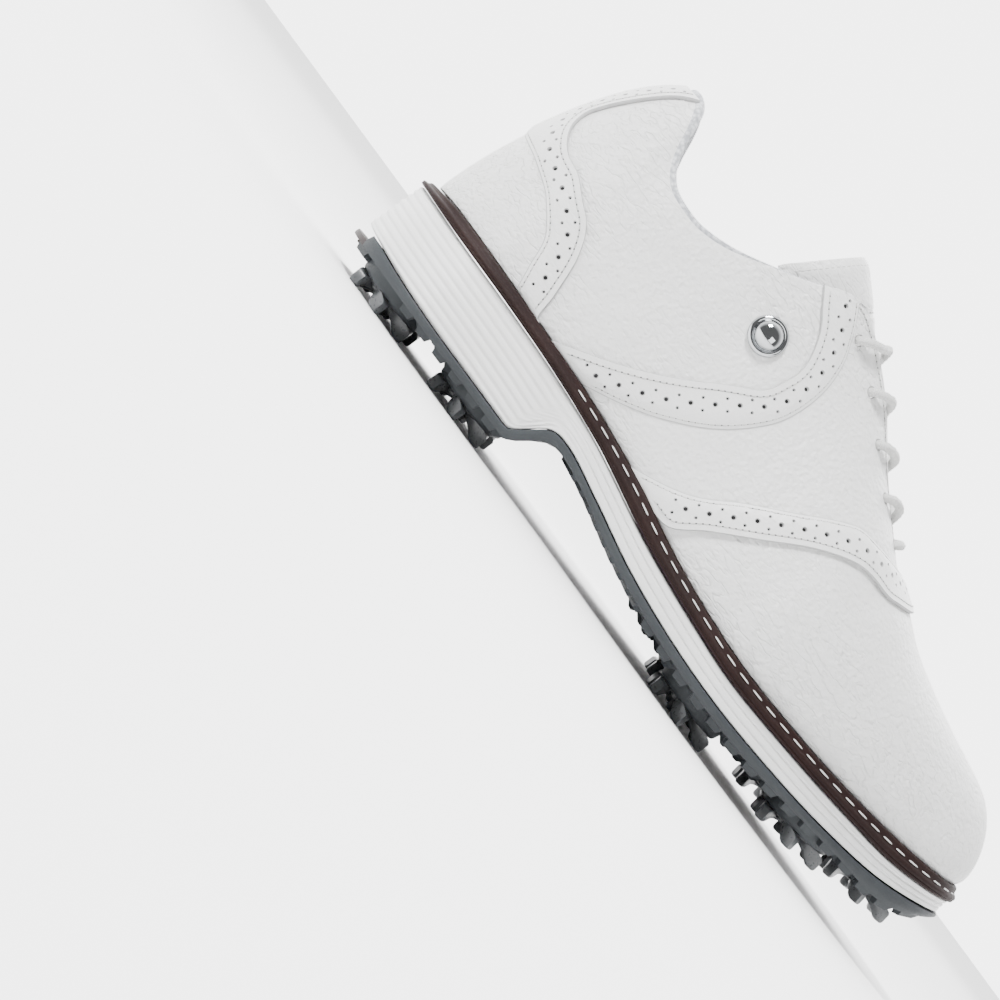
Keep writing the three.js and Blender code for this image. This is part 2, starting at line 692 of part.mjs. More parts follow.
// One strand: out of an eyelet, over the facing, across the tongue and under the other facing.
function strand(side, row, clearance) {
  const here = eyelet(side, row);
  const there = eyelet(-side, row + 1);
  const edge = { side, u: here.u + 0.012 };
  const farEdge = { side: -side, u: there.u - 0.008 };
  const over = LACE_RADIUS + 0.5;
  const under = LACE_INSIDE;
  const middleX = (EYELET_X[row] + EYELET_X[row + 1]) / 2 + 1.5;
  const middleZ = tongueHeight(middleX) + clearance;
  const middle = new THREE.Vector3(middleX, smooth(MIDDLE_Y, middleX), middleZ);
  return [
    offsetPoint(side, here.u, here.v, under),
    offsetPoint(side, here.u, here.v, 0.6),
    offsetPoint(side, here.u + 0.004, here.v + 0.025, over + 0.7),
    offsetPoint(side, edge.u, 0.985, over + 0.9),
    middle,
    offsetPoint(-side, farEdge.u, 0.99, under - 0.2),
    offsetPoint(-side, there.u - 0.003, there.v + 0.03, under - 0.2),
  ];
}

function laceHalf(start) {
  const points = [];
  const first = eyelet(start, 0);
  points.push(offsetPoint(start, first.u + 0.03, first.v - 0.09, LACE_INSIDE));
  points.push(offsetPoint(start, first.u + 0.012, first.v - 0.05, LACE_INSIDE));
  for (const row of range(EYELET_X.length - 1)) {
    const side = row % 2 === 0 ? start : -start;
    points.push(...strand(side, row, start === LATERAL ? LACE_RISE.over : LACE_RISE.under));
  }
  return points;
}

function laceSolid() {
  const lastRow = EYELET_X.length - 1;
  const bar = (side) => {
    const end = eyelet(side, lastRow);
    return [
      offsetPoint(side, end.u, end.v, LACE_INSIDE),
      offsetPoint(side, end.u, end.v, 0.6),
      offsetPoint(side, end.u + 0.002, end.v + 0.05, LACE_RADIUS + 0.6),
    ];
  };
  const points = [
    ...laceHalf(LATERAL), ...bar(LATERAL), ...bar(MEDIAL).reverse(), ...laceHalf(MEDIAL).reverse(),
  ];
  const path = new THREE.CatmullRomCurve3(points, false, 'centripetal');
  const section = new THREE.Shape(range(8).map((k) => {
    const angle = (k / 8) * 2 * Math.PI;
    return new THREE.Vector2(LACE_RADIUS * Math.cos(angle), LACE_RADIUS * Math.sin(angle));
  }));
  const options = { steps: LACE_STEPS, extrudePath: path, bevelEnabled: false };
  return new THREE.ExtrudeGeometry(section, options);
}

// Matrix that stands local Z along the surface normal at a place on the upper.
function surfaceMatrix(side, u, v) {
  const normal = upperNormal(side, u, v);
  const turn = new THREE.Quaternion().setFromUnitVectors(new THREE.Vector3(0, 0, 1), normal);
  return new THREE.Matrix4().compose(upperPoint(side, u, v), turn, new THREE.Vector3(1, 1, 1));
}

// Surface place that a side view shows at distance x and height z.
function locate(side, x, z) {
  let u = ribAt(x);
  let v = 0.5;
  for (const _ of range(20)) {
    const point = upperPoint(side, u, v);
    v = THREE.MathUtils.clamp(v + (z - point.z) / 90, 0, 1);
    u = THREE.MathUtils.clamp(u + (x - point.x) / 480, 0, 1);
  }
  return [u, v];
}

// ---- Assembly ------------------------------------------------------------------------------

const shoe = new THREE.Group();
shoe.position.x = -SOLE_LENGTH / 2;

function place(name, geometry, material) {
  const mesh = new THREE.Mesh(geometry, material.clone());
  mesh.name = name;
  shoe.add(mesh);
}

function placeSolid(name, solid, material) {
  place(name, geometryOf(solid), material);
}

const spikes = SPIKES.map((spike) => ({ ...spike, matrix: spikeMatrix(spike) }));
const pockets = spikes.map(({ matrix }) => {
  return moved(post(SOCKET.radius + GAP, -8, SOCKET.height + GAP), matrix);
});
const recesses = spikes.map(({ matrix }) => moved(post(BOSS.inner, -8, 0), matrix));

function cutAll(solid, cuts) {
  return cuts.reduce((rest, cut) => rest.subtract(cut), solid);
}

function withBosses(solid, list) {
  return list.reduce((sum, { matrix }) => sum.add(moved(bossRing(), matrix)), solid);
}

function shankSolid(grow) {
  const outline = curve(SHANK, 20).map((point) => {
    return point.clone().sub(SHANK_CENTRE).multiplyScalar(1 + grow / 12).add(SHANK_CENTRE);
  });
  const top = (x) => midsoleTop(x) - 0.2 + 3 * grow;
  const bottom = (x) => midsoleTop(x) - 0.2 - SHANK_THICKNESS - grow;
  return soleSlab(INSET.shank, 1, bottom, top).intersect(planPrism(outline, 0, FAR));
}

function buildOutsole() {
  let outsole = cutAll(soleSlab(0, 4, soleUnderside, outsoleTop), [
    plateUnderSole(FOREFOOT_INSERT, INSERT_THICKNESS, GAP),
    plateUnderSole(HEEL_INSERT, INSERT_THICKNESS, GAP),
    waistPlateSolid(GAP),
  ]);
  outsole = withBosses(outsole, spikes.filter((spike) => !spike.onInsert));
  placeSolid('outsole', cutAll(outsole, [...recesses, ...pockets]), FINISHES.rubber);

  const plate = plateUnderSole(FOREFOOT_INSERT, INSERT_THICKNESS);
  const belowInsert = soleSlab(-3, 4, () => -5, (x, y) => soleUnderside(x, y) + INSERT_THICKNESS);
  const insert = withBosses(plate, spikes.filter((spike) => spike.onInsert)).intersect(belowInsert);
  placeSolid('forefoot_insert', cutAll(insert, [...recesses, ...pockets]), FINISHES.insert);
  placeSolid('heel_insert', plateUnderSole(HEEL_INSERT, INSERT_THICKNESS), FINISHES.insert);
  placeSolid('waist_plate', waistPlateSolid(0), FINISHES.insert);
}

function buildSole() {
  buildOutsole();

  const foam = soleSlab(INSET.midsole, 1, (x) => outsoleTop(x) + GAP, midsoleTop);
  placeSolid('midsole', cutAll(foam, [...pockets, shankSolid(GAP)]), FINISHES.midsole);
  placeSolid('shank', shankSolid(0), FINISHES.steel);

  const weltSlab = soleSlab(INSET.welt, 1, (x) => midsoleTop(x) + GAP, weltTop);
  const weltHole = soleSlab(INSET.weltInside, 1, (x) => midsoleTop(x) - 5, (x) => weltTop(x) + 5);
  placeSolid('welt', weltSlab.subtract(weltHole), FINISHES.welt);

  const board = soleSlab(INSET.insoleBoard, 1, (x) => weltTop(x) - INSOLE_BOARD_THICKNESS, weltTop);
  placeSolid('insole_board', board, FINISHES.board);
  const linerTop = (x) => weltTop(x) + GAP + SOCKLINER_THICKNESS;
  const liner = soleSlab(INSET.sockliner, 1, (x) => weltTop(x) + GAP, linerTop);
  placeSolid('sockliner', liner, FINISHES.lining);

  for (const spike of spikes) {
    placeSolid(`socket_${spike.name}`, moved(socketSolid(), spike.matrix), FINISHES.socket);
    placeSolid(`spike_${spike.name}`, moved(spikeSolid(), spike.matrix), FINISHES.spike);
  }
}

const corner = (x, y) => new THREE.Vector2(x, y);
const SIDES = [['lateral', LATERAL], ['medial', MEDIAL]];

// Side-view outlines of the panels run past the shoe; only their seams show.
function buildBaseLeather() {
  const base = upperShell(BASE);
  const vampSeam = curve(VAMP_SEAM);
  const saddleSeam = curve(SADDLE_SEAM);
  const counterSeam = curve(COUNTER_SEAM, 10);
  const half = GAP / 2 + 0.05;

  const vampOutline = [...shifted(vampSeam, half), corner(320, 100), corner(320, 20)];
  placeSolid('vamp', base.intersect(sidePrism(vampOutline, -FAR, FAR)), FINISHES.leather);
  const counterOutline = [...shifted(counterSeam, -half), corner(-10, 20), corner(50, 20)];
  const counter = base.intersect(sidePrism(counterOutline, -FAR, FAR));
  placeSolid('heel_counter', counter, FINISHES.leather);

  const saddleOutline = between(shifted(saddleSeam, half), shifted(vampSeam, -half));
  saddleOutline.splice(saddleSeam.length, 0, corner(100, 150), corner(209, 150));
  const quarterOutline = between(shifted(counterSeam, half), shifted(saddleSeam, -half));
  quarterOutline.splice(counterSeam.length, 0, corner(-10, 150), corner(90, 150));
  for (const [name, side] of SIDES) {
    const holes = EYELET_X.map((_, row) => {
      const { u, v } = eyelet(side, row);
      return moved(post(EYELET_RADIUS, -4, 4, 8), surfaceMatrix(side, u, v));
    });
    const saddle = base.intersect(sidePrism(saddleOutline, ...halfRange(side, 0)));
    placeSolid(`saddle_${name}`, cutAll(saddle, holes), FINISHES.leather);
    const heelMiddle = MIDDLE_Y[0][1];
    const quarter = base.intersect(sidePrism(quarterOutline, ...halfRange(side, heelMiddle)));
    placeSolid(`quarter_${name}`, quarter, FINISHES.leather);
  }
}

function buildBands() {
  const overlay = upperShell(OVERLAY);
  const frontBand = between(curve(FRONT_BAND.rear), curve(FRONT_BAND.front));
  placeSolid('front_band', overlay.intersect(sidePrism(frontBand, -FAR, FAR)), FINISHES.band);
  const heelFront = [...curve(HEEL_BAND.front, 16), corner(-10, 138)];
  const heelBand = overlay.intersect(sidePrism(between(curve(HEEL_BAND.rear, 8), heelFront), -FAR, FAR));
  placeSolid('heel_band', heelBand, FINISHES.band);
  const rearBand = between(curve(REAR_BAND.rear), curve(REAR_BAND.front));
  for (const [name, side] of SIDES) {
    const band = overlay.intersect(sidePrism(rearBand, ...halfRange(side, 0)));
    placeSolid(`rear_band_${name}`, band, FINISHES.band);
  }
}

function buildLinings() {
  const stiffener = upperShell(STIFFENER);
  const puffOutline = [
    corner(262, 20), corner(250, 45), corner(246, 90), corner(320, 90), corner(320, 20),
  ];
  const puff = stiffener.intersect(sidePrism(puffOutline, -FAR, FAR));
  placeSolid('toe_puff', puff, FINISHES.stiffener);
  const cupOutline = [
    corner(-10, 20), corner(70, 20), corner(52, 60), corner(36, 84), corner(-10, 90),
  ];
  const cup = stiffener.intersect(sidePrism(cupOutline, -FAR, FAR));
  placeSolid('heel_stiffener', cup, FINISHES.stiffener);

  const paddedInner = (u, v) => {
    const risen = ease(0.35, 0.8, v) * (1 - 0.6 * ease(0.86, 1, v));
    return LINING.inner - COLLAR_PAD * risen * (1 - ease(0.33, 0.39, u));
  };
  const collar = upperShell({ outer: LINING.outer, inner: paddedInner });
  const collarOutline = [
    corner(-10, 20), corner(112, 20), corner(112, 122), corner(100, 150), corner(-10, 150),
  ];
  const collarLining = collar.intersect(sidePrism(collarOutline, -FAR, FAR));
  placeSolid('collar_lining', collarLining, FINISHES.lining);
  const liningOutline = [
    corner(112.6, 20), corner(112.6, 100), corner(135, 100), corner(160, 84), corner(185, 72),
    corner(212, 70), corner(216, 100), corner(320, 100), corner(320, 20),
  ];
  const vampLining = upperShell(LINING).intersect(sidePrism(liningOutline, -FAR, FAR));
  placeSolid('vamp_lining', vampLining, FINISHES.lining);
}

function buildUpper() {
  buildBaseLeather();
  buildBands();
  buildLinings();
}

function buildFittings() {
  placeSolid('tongue', tongueSolid(0, TONGUE_THICKNESS), FINISHES.leather);
  place('lace', laceSolid(), FINISHES.lace);

  const badgeAt = surfaceMatrix(LATERAL, ...locate(LATERAL, BADGE.x, BADGE.z));
  const r = BADGE.radius;
  const plate = turned([[0, 0.5], [r, 0.5], [r, 1.4], [r - 0.8, 2], [0, 2]], 20);
  placeSolid('badge_plate', moved(plate, badgeAt), FINISHES.chrome);
  const dome = turned([[0, 2.3], [4.6, 2.3], [4.2, 3.4], [2.4, 4.4], [0, 4.8]], 16);
  placeSolid('badge_dome', moved(dome, badgeAt), FINISHES.chrome);
}

buildSole();
buildUpper();
buildFittings();

export default shoe;
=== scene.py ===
"""Looks of the golf shoe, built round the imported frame.

Shapes are worked out in millimetres with X = 0 at the back of the heel, +Y inner side, +Z up, and
world() turns them into the frame's metres.
"""

import json
import math

import bpy
import numpy as np
from mathutils import Matrix, Vector
from mathutils.geometry import delaunay_2d_cdt

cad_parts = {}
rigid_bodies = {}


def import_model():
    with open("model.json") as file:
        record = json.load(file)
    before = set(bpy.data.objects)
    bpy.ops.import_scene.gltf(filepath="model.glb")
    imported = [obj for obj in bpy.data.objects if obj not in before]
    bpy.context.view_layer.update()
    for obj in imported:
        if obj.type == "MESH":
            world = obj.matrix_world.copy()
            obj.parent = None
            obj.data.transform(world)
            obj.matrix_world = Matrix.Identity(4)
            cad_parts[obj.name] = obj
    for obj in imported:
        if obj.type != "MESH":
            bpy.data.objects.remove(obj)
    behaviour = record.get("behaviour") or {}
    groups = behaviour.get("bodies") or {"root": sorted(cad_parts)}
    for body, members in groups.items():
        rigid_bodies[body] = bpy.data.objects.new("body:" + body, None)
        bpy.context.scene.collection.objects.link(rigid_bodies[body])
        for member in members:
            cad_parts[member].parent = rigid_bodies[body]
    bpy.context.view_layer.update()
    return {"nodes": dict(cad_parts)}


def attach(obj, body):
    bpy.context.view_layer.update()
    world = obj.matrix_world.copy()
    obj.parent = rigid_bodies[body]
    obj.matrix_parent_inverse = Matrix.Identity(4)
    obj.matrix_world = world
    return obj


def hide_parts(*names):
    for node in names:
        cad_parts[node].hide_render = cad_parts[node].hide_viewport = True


for leftover in list(bpy.data.objects):
    bpy.data.objects.remove(leftover)

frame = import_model()

# ---- Shape tables, the same as the CAD's ----------------------------------------------------

LENGTH = 303.0
LATERAL, MEDIAL = -1, 1

MEDIAL_RIM = [
    (0, -1.8), (4.3, 16.5), (12.7, 28.8), (24.3, 35.5), (54.3, 39.2), (87.7, 37.5), (107.7, 31.8),
    (121, 30.8), (137.7, 32.2), (151, 37.2), (167.7, 45.8), (187.7, 53.2), (217.7, 57.5),
    (237.7, 56.2), (254.3, 52.2), (271, 45.8), (284.3, 37.5), (294.3, 26.5), (301, 13.2), (303, 4.8),
]
LATERAL_RIM = [
    (0, -1.8), (2.7, -16.8), (14.3, -33.5), (24.3, -39.2), (37.7, -44.5), (71, -45.8),
    (104.3, -46.2), (137.7, -50.5), (171, -55.8), (187.7, -57.5), (204.3, -56.2), (237.7, -47.8),
    (254.3, -40.8), (271, -32.8), (284.3, -25.8), (296, -15.8), (301, -6.8), (303, 4.8),
]
WELT_TOP = [
    (0, 40.4), (19, 41.7), (56, 41.1), (97, 39.4), (126, 36), (144, 32.6), (171, 29.2),
    (192, 28.2), (222, 29.5), (253, 32.6), (273, 35.6), (290, 39), (303, 42),
]
MIDSOLE_TOP = [
    (0, 37.3), (19, 36.6), (53, 36.3), (76, 35.6), (103.5, 33.4), (144, 26.5), (171, 23.8),
    (192, 22.6), (222, 24.1), (253, 26.8), (273, 29.2), (290, 33.3), (303, 37.3),
]
OUTSOLE_TOP = [
    (0, 15.3), (29, 13.2), (53, 12.6), (84, 12.6), (94, 23.8), (100, 25.1), (120.5, 22),
    (144, 17.6), (171, 14.9), (192, 14.3), (222, 15.6), (253, 18.7), (273, 22.1), (303, 31.6),
]
OUTSOLE_RIM = [
    (0, 9.8), (86, 9.8), (97, 21), (101, 22), (144, 14.6), (171, 11.9), (192, 11.2),
    (222, 12.2), (239, 14.3), (260, 16.6), (287, 20.6), (303, 30.5),
]
FOREFOOT_CROWN = 1.4
FEATHER_INSET = 5.5
FEATHER_RISE = 0.9
RIDGE = 17 / 28
TOP_X = [
    (0, 29.9), (0.08, 31.6), (0.14, 35.2), (0.19, 41), (0.24, 50), (0.3, 65), (0.36, 87),
    (0.4, 105), (0.5, 151.5), (0.6, 196.5), (0.7, 239), (0.8, 264), (0.9, 272.5), (1, 274.6),
]
TOP_HALF_WIDTH = [
    (0, 0), (0.08, 11), (0.14, 19), (0.19, 25), (0.24, 29.5), (0.3, 32.5), (0.36, 31.5),
    (0.4, 26.5), (0.43, 20.5), (0.46, 15), (0.5, 12.8), (0.55, 11.2), (0.58, 8.5), (RIDGE, 0),
]
TOP_Z = [
    (29.9, 129.1), (33.5, 128.1), (36.6, 125.9), (40.9, 119.6), (44.1, 113.2), (48.4, 106.9),
    (52.6, 103.7), (59, 102), (65.3, 101.8), (78, 104.8), (92.9, 112.6), (106.5, 121.5),
    (115, 128.6), (122, 130.9), (131, 128.6), (140, 124.8), (152.4, 118.4), (172.4, 104.9),
    (188.3, 95.4), (200, 89.6), (213.8, 84.5), (225.7, 79.4), (239.2, 75.8), (252.8, 73),
    (273.2, 69.8), (303, 64),
]
MIDDLE_Y = [(0, -1.8), (60, -3), (120, -4.5), (160, -2), (200, 0), (240, 3.5), (274, 5), (303, 4.8)]

VAMP_SEAM = [
    (127, 28), (144, 46.5), (156, 59), (169, 71.5), (181, 81.5), (190, 84.2), (201, 84.3),
    (206.5, 87), (209, 96),
]
SADDLE_SEAM = [
    (83, 35), (103, 56.5), (118, 70.5), (128, 82.5), (131.4, 92), (131.2, 102.5), (126.8, 113),
    (120, 119.6), (110, 124.5), (98, 130),
]
COUNTER_SEAM = [
    (56.5, 30), (55.5, 41), (52.5, 51), (47.5, 62), (39.5, 70), (28, 75.5), (17, 79.3), (-8, 84),
]

# ---- Curves and the shoe's surfaces ---------------------------------------------------------


def world(points):
    return (np.asarray(points, float) - (LENGTH / 2, 0, 0)) / 1000


def smooth(table, x):
    """Smooth curve through (x, y) pairs that never overshoots."""
    xs, ys = np.array(table, float).T
    gap = np.diff(xs)
    rise = np.diff(ys) / gap
    mean = (rise[:-1] * gap[1:] + rise[1:] * gap[:-1]) / (gap[:-1] + gap[1:])
    most = 3 * np.minimum(abs(rise[:-1]), abs(rise[1:]))
    slopes = np.concatenate([rise[:1], np.clip(mean, -most, most), rise[-1:]])
    slopes[1:-1][rise[:-1] * rise[1:] <= 0] = 0
    x = np.clip(x, xs[0], xs[-1])
    i = np.clip(np.searchsorted(xs, x) - 1, 0, len(gap) - 1)
    s = (x - xs[i]) / gap[i]
    blend = s * s * (3 - 2 * s)
    leave = s * (1 - s) ** 2 * gap[i] * slopes[i]
    arrive = s * s * (s - 1) * gap[i] * slopes[i + 1]
    return ys[i] * (1 - blend) + ys[i + 1] * blend + leave + arrive


def ease(start, end, x):
    s = np.clip((np.asarray(x, float) - start) / (end - start), 0, 1)
    return s * s * (3 - 2 * s)


def unit(vectors):
    return vectors / np.maximum(np.linalg.norm(vectors, axis=-1, keepdims=True), 1e-12)


def turn_at(x):
    return np.arccos(1 - 2 * np.clip(x, 0, LENGTH) / LENGTH) / np.pi


RIMS = {
    side: [(float(turn_at(x)), y) for x, y in table]
    for side, table in ((MEDIAL, MEDIAL_RIM), (LATERAL, LATERAL_RIM))
}


def rim_point(side, u):
    x = LENGTH / 2 * (1 - np.cos(np.pi * u))
    y = np.where(side > 0, smooth(RIMS[MEDIAL], u), smooth(RIMS[LATERAL], u))
    return np.stack([x, y], -1)


def rim(side, u, inset=0.0):
    """Sole outline, moved inwards by inset."""
    side, u, inset = np.broadcast_arrays(np.asarray(side), np.asarray(u, float), inset)
    step = 0.004
    along = unit(rim_point(side, np.minimum(u + step, 1)) - rim_point(side, np.maximum(u - step, 0)))
    along[u <= 0] = np.stack([0 * side, side], -1)[u <= 0]
    along[u >= 1] = np.stack([0 * side, -side], -1)[u >= 1]
    inwards = np.stack([side * along[..., 1], -side * along[..., 0]], -1)
    return rim_point(side, u) + inwards * inset[..., None]


def sole_underside(x, y):
    u = turn_at(x)
    lateral = rim(LATERAL, u)[..., 1]
    medial = rim(MEDIAL, u)[..., 1]
    across = np.clip(2 * (y - lateral) / np.maximum(medial - lateral, 1) - 1, -1, 1)
    reach = ease(140, 165, x) * (1 - ease(225, 262, x))
    return smooth(OUTSOLE_RIM, x) - FOREFOOT_CROWN * reach * (1 - across**6)


def upper_point(side, u, v):
    """Outer face of the upper: u from heel to toe, v from the welt to the top edge."""
    side, u, v = np.broadcast_arrays(np.asarray(side), np.asarray(u, float), np.asarray(v, float))
    foot = rim(side, u, FEATHER_INSET)
    top_x = smooth(TOP_X, u)
    top_y = smooth(MIDDLE_Y, top_x) + side * smooth(TOP_HALF_WIDTH, u)
    arch = ease(70, 150, top_x)
    power = 1.7 + 0.7 * ease(110, 235, top_x)
    last = np.pi * (0.36 + 0.14 * ease(150, 200, top_x))
    travel = lambda a: 1 - np.maximum(np.cos(a), 0) ** (2 / power)
    rise = lambda a: np.sin(a) ** (2 / power)
    inward = (0.75 * v**1.9 + 0.25 * v**9) * (1 - arch) + travel(v * last) / travel(last) * arch
    up = v * (1 - arch) + rise(v * last) / rise(last) * arch
    bulge = (0.4 + 2.2 * ease(30, 110, top_x)) * np.sin(np.pi * up**0.6) * (1 - up)
    top = np.stack([top_x, top_y], -1)
    plan = foot + (top - foot) * inward[..., None] + unit(foot - top) * bulge[..., None]
    foot_z = smooth(WELT_TOP, foot[..., 0]) + FEATHER_RISE
    top_z = smooth(TOP_Z, np.where(top_x > 215, plan[..., 0], top_x))
    return np.concatenate([plan, (foot_z + (top_z - foot_z) * up)[..., None]], -1)


# One flat chart of the upper: p is 450 u, positive on the lateral side, and q is 100 v. Above
# q = 100 the chart runs down the other side, so a band can cross the middle of the vamp.
CHART_P, CHART_Q = 450.0, 100.0


def chart_point(p, q):
    p, q = np.broadcast_arrays(np.asarray(p, float), np.asarray(q, float))
    over = q > CHART_Q
    side = np.where((p >= 0) != over, LATERAL, MEDIAL)
    v = np.where(over, 2 * CHART_Q - q, q) / CHART_Q
    return upper_point(side, np.clip(abs(p) / CHART_P, 0, 1), np.clip(v, 0, 1))


def chart_slopes(p, q):
    """How the point moves with p and with q."""
    p, q = np.broadcast_arrays(np.asarray(p, float), np.asarray(q, float))
    step = 0.6
    p = np.clip(p, step - CHART_P, CHART_P - step)
    q = np.clip(q, step, 2 * CHART_Q - step)
    free = (abs(p) < RIDGE * CHART_P) & (q <= CHART_Q)
    q = np.where(free, np.minimum(q, CHART_Q - step), q)
    along = (chart_point(p + step, q) - chart_point(p - step, q)) / (2 * step)
    up = (chart_point(p, q + step) - chart_point(p, q - step)) / (2 * step)
    return along, up


def chart_normal(p, q):
    along, up = chart_slopes(p, q)
    return unit(np.cross(along, up))


def chart_offset(p, q, distance):
    distance = np.broadcast_to(distance, np.shape(p))
    return chart_point(p, q) + chart_normal(p, q) * distance[..., None]


def nudge(p, q, step):
    """Chart place after a small step in space along the surface."""
    along, up = chart_slopes(p, q)
    aa, bb, ab = (along * along).sum(-1), (up * up).sum(-1), (along * up).sum(-1)
    sa, sb = (step * along).sum(-1), (step * up).sum(-1)
    scale = aa * bb - ab * ab
    return p + (sa * bb - sb * ab) / scale, q + (sb * aa - sa * ab) / scale


def locate(x, z):
    """Chart place on the lateral side that a side view shows at x and z."""
    x, z = np.asarray(x, float), np.asarray(z, float)
    us = np.array([u for u, _ in TOP_X])
    p = CHART_P * np.interp(x, [t for _, t in TOP_X], us)
    q = np.full_like(p, CHART_Q / 2)
    for _ in range(60):
        point = chart_point(p, q)
        p = np.clip(p + (x - point[..., 0]) * 0.8, 0, CHART_P)
        q = np.clip(q + (z - point[..., 2]) * 0.9, 0, CHART_Q)
    return p, q


def catmull(points, count):
    """Even Catmull-Rom curve through points, `count` steps for each span."""
    points = np.asarray(points, float)
    ends = np.vstack([2 * points[0] - points[1], points, 2 * points[-1] - points[-2]])
    t = np.linspace(0, 1, count, endpoint=False)[:, None]
    spans = []
    for a, b, c, d in zip(ends, ends[1:], ends[2:], ends[3:]):
        curve, twist = 2 * a - 5 * b + 4 * c - d, 3 * b - a - 3 * c + d
        spans.append(0.5 * (2 * b + (c - a) * t + curve * t**2 + twist * t**3))
    return np.vstack([*spans, points[-1:]])


def resample(line, count=None, step=None):
    """Line with even spacing along its length."""
    reach = np.concatenate([[0], np.cumsum(np.linalg.norm(np.diff(line, axis=0), axis=1))])
    count = count or max(2, int(round(reach[-1] / step)) + 1)
    at = np.linspace(0, reach[-1], count)
    return np.stack([np.interp(at, reach, line[:, k]) for k in range(line.shape[1])], -1)

# ---- Mesh building --------------------------------------------------------------------------


def grid_faces(rows, columns, flip=False):
    """Quads over a grid of points, rows x columns."""
    a = np.arange(rows * columns).reshape(rows, columns)
    corners = [a[:-1, :-1], a[1:, :-1], a[1:, 1:], a[:-1, 1:]]
    faces = np.stack([c.ravel() for c in corners], -1)
    return faces[:, ::-1] if flip else faces


def circle(radius, sides, x=0.0, y=0.0, start=0.0):
    """Points round a flat circle."""
    angle = start + np.arange(sides) * 2 * np.pi / sides
    return np.stack([x + radius * np.cos(angle), y + radius * np.sin(angle)], -1)


def at_height(loop, z):
    """Flat loop lifted to one height, or to a height for each of its points."""
    return np.column_stack([loop, np.broadcast_to(z, len(loop))])


def ring_faces(rings):
    """Quads between rings that are joined in order."""
    count = len(rings[0])
    faces = []
    for k in range(len(rings) - 1):
        for i in range(count):
            a, b = k * count + i, k * count + (i + 1) % count
            faces.append([a, b, b + count, a + count])
    return faces


def closed_rings(rings):
    """Solid ring: the last ring joins the first."""
    count = len(rings[0])
    faces = ring_faces(rings)
    last = (len(rings) - 1) * count
    for i in range(count):
        faces.append([last + i, last + (i + 1) % count, (i + 1) % count, i])
    return np.vstack(rings), faces


def capped(rings):
    """Closed form: rings joined in order, with one flat face over each end."""
    count = len(rings[0])
    last = (len(rings) - 1) * count
    caps = [list(range(count))[::-1], list(range(last, last + count))]
    return np.vstack(rings), ring_faces(rings) + caps


def pointed_rings(rings, start, end):
    """Closed form: rings joined in order, with a point before the first and one after the last."""
    count = len(rings[0])
    points = np.vstack([*rings, [start], [end]])
    faces = ring_faces(rings)
    tail = (len(rings) - 1) * count
    first, last = len(points) - 2, len(points) - 1
    for i in range(count):
        faces.append([first, (i + 1) % count, i])
        faces.append([last, tail + i, tail + (i + 1) % count])
    return points, faces


def tidy_faces(faces):
    """Faces without repeated corners; one that has fewer than three left goes."""
    kept = []
    for face in faces:
        ring = [int(a) for a, b in zip(face, np.roll(face, 1)) if a != b]
        if len(set(ring)) == len(ring) and len(ring) > 2:
            kept.append(ring)
    return kept


def open_edges(faces):
    """Directed edges that only one face uses."""
    pairs = {(a, b) for face in faces for a, b in zip(face, face[1:] + face[:1])}
    return [(a, b) for a, b in sorted(pairs) if (b, a) not in pairs]


def shell(outer, inner, faces, bulge=0.0, steps=3):
    """Closed skin between two layers of points, with rounded free edges."""
    faces = tidy_faces(faces)
    used = sorted({i for face in faces for i in face})
    place = {old: new for new, old in enumerate(used)}
    faces = [[place[i] for i in face] for face in faces]
    outer, inner = outer[used], inner[used]
    count = len(used)
    edges = open_edges(faces)
    out = np.zeros((count, 3))
    for a, b in edges:
        side = np.cross(outer[b] - outer[a], outer[a] - inner[a])
        out[a] += side / max(np.linalg.norm(side), 1e-9)
        out[b] += side / max(np.linalg.norm(side), 1e-9)
    ring = sorted({i for edge in edges for i in edge})
    spot = {i: k for k, i in enumerate(ring)}
    out = unit(out[ring])
    points = [outer, inner]
    for k in range(1, steps):
        t = k / steps
        points.append(outer[ring] * (1 - t) + inner[ring] * t + out * bulge * math.sin(math.pi * t))
    closed = faces + [[i + count for i in reversed(face)] for face in faces]

    def level(i, k):
        if k in (0, steps):
            return i + count * (k == steps)
        return 2 * count + (k - 1) * len(ring) + spot[i]

    for a, b in edges:
        for k in range(steps):
            closed.append([level(b, k), level(a, k), level(a, k + 1), level(b, k + 1)])
    return np.vstack(points), closed


def welded_shell(sheets, bulge):
    """One shell from (outer, inner, faces) sheets, whose points that lie together become one."""
    outer = np.vstack([sheet[0] for sheet in sheets])
    inner = np.vstack([sheet[1] for sheet in sheets])
    starts = np.cumsum([0] + [len(sheet[0]) for sheet in sheets])
    faces = np.vstack([sheet[2] + start for sheet, start in zip(sheets, starts)])
    _, first, same = np.unique(np.round(outer, 3), axis=0, return_index=True, return_inverse=True)
    return shell(outer[first], inner[first], same.reshape(-1)[faces], bulge)


def inside(points, outline):
    """Which 2-D points lie inside a closed outline."""
    x, y = points[:, :1], points[:, 1:2]
    a, b = outline, np.roll(outline, -1, axis=0)
    crosses = (a[:, 1] > y) != (b[:, 1] > y)
    slope = (b[:, 0] - a[:, 0]) / np.where(b[:, 1] == a[:, 1], 1e-9, b[:, 1] - a[:, 1])
    return (crosses & (x < a[:, 0] + (y - a[:, 1]) * slope)).sum(1) % 2 == 1


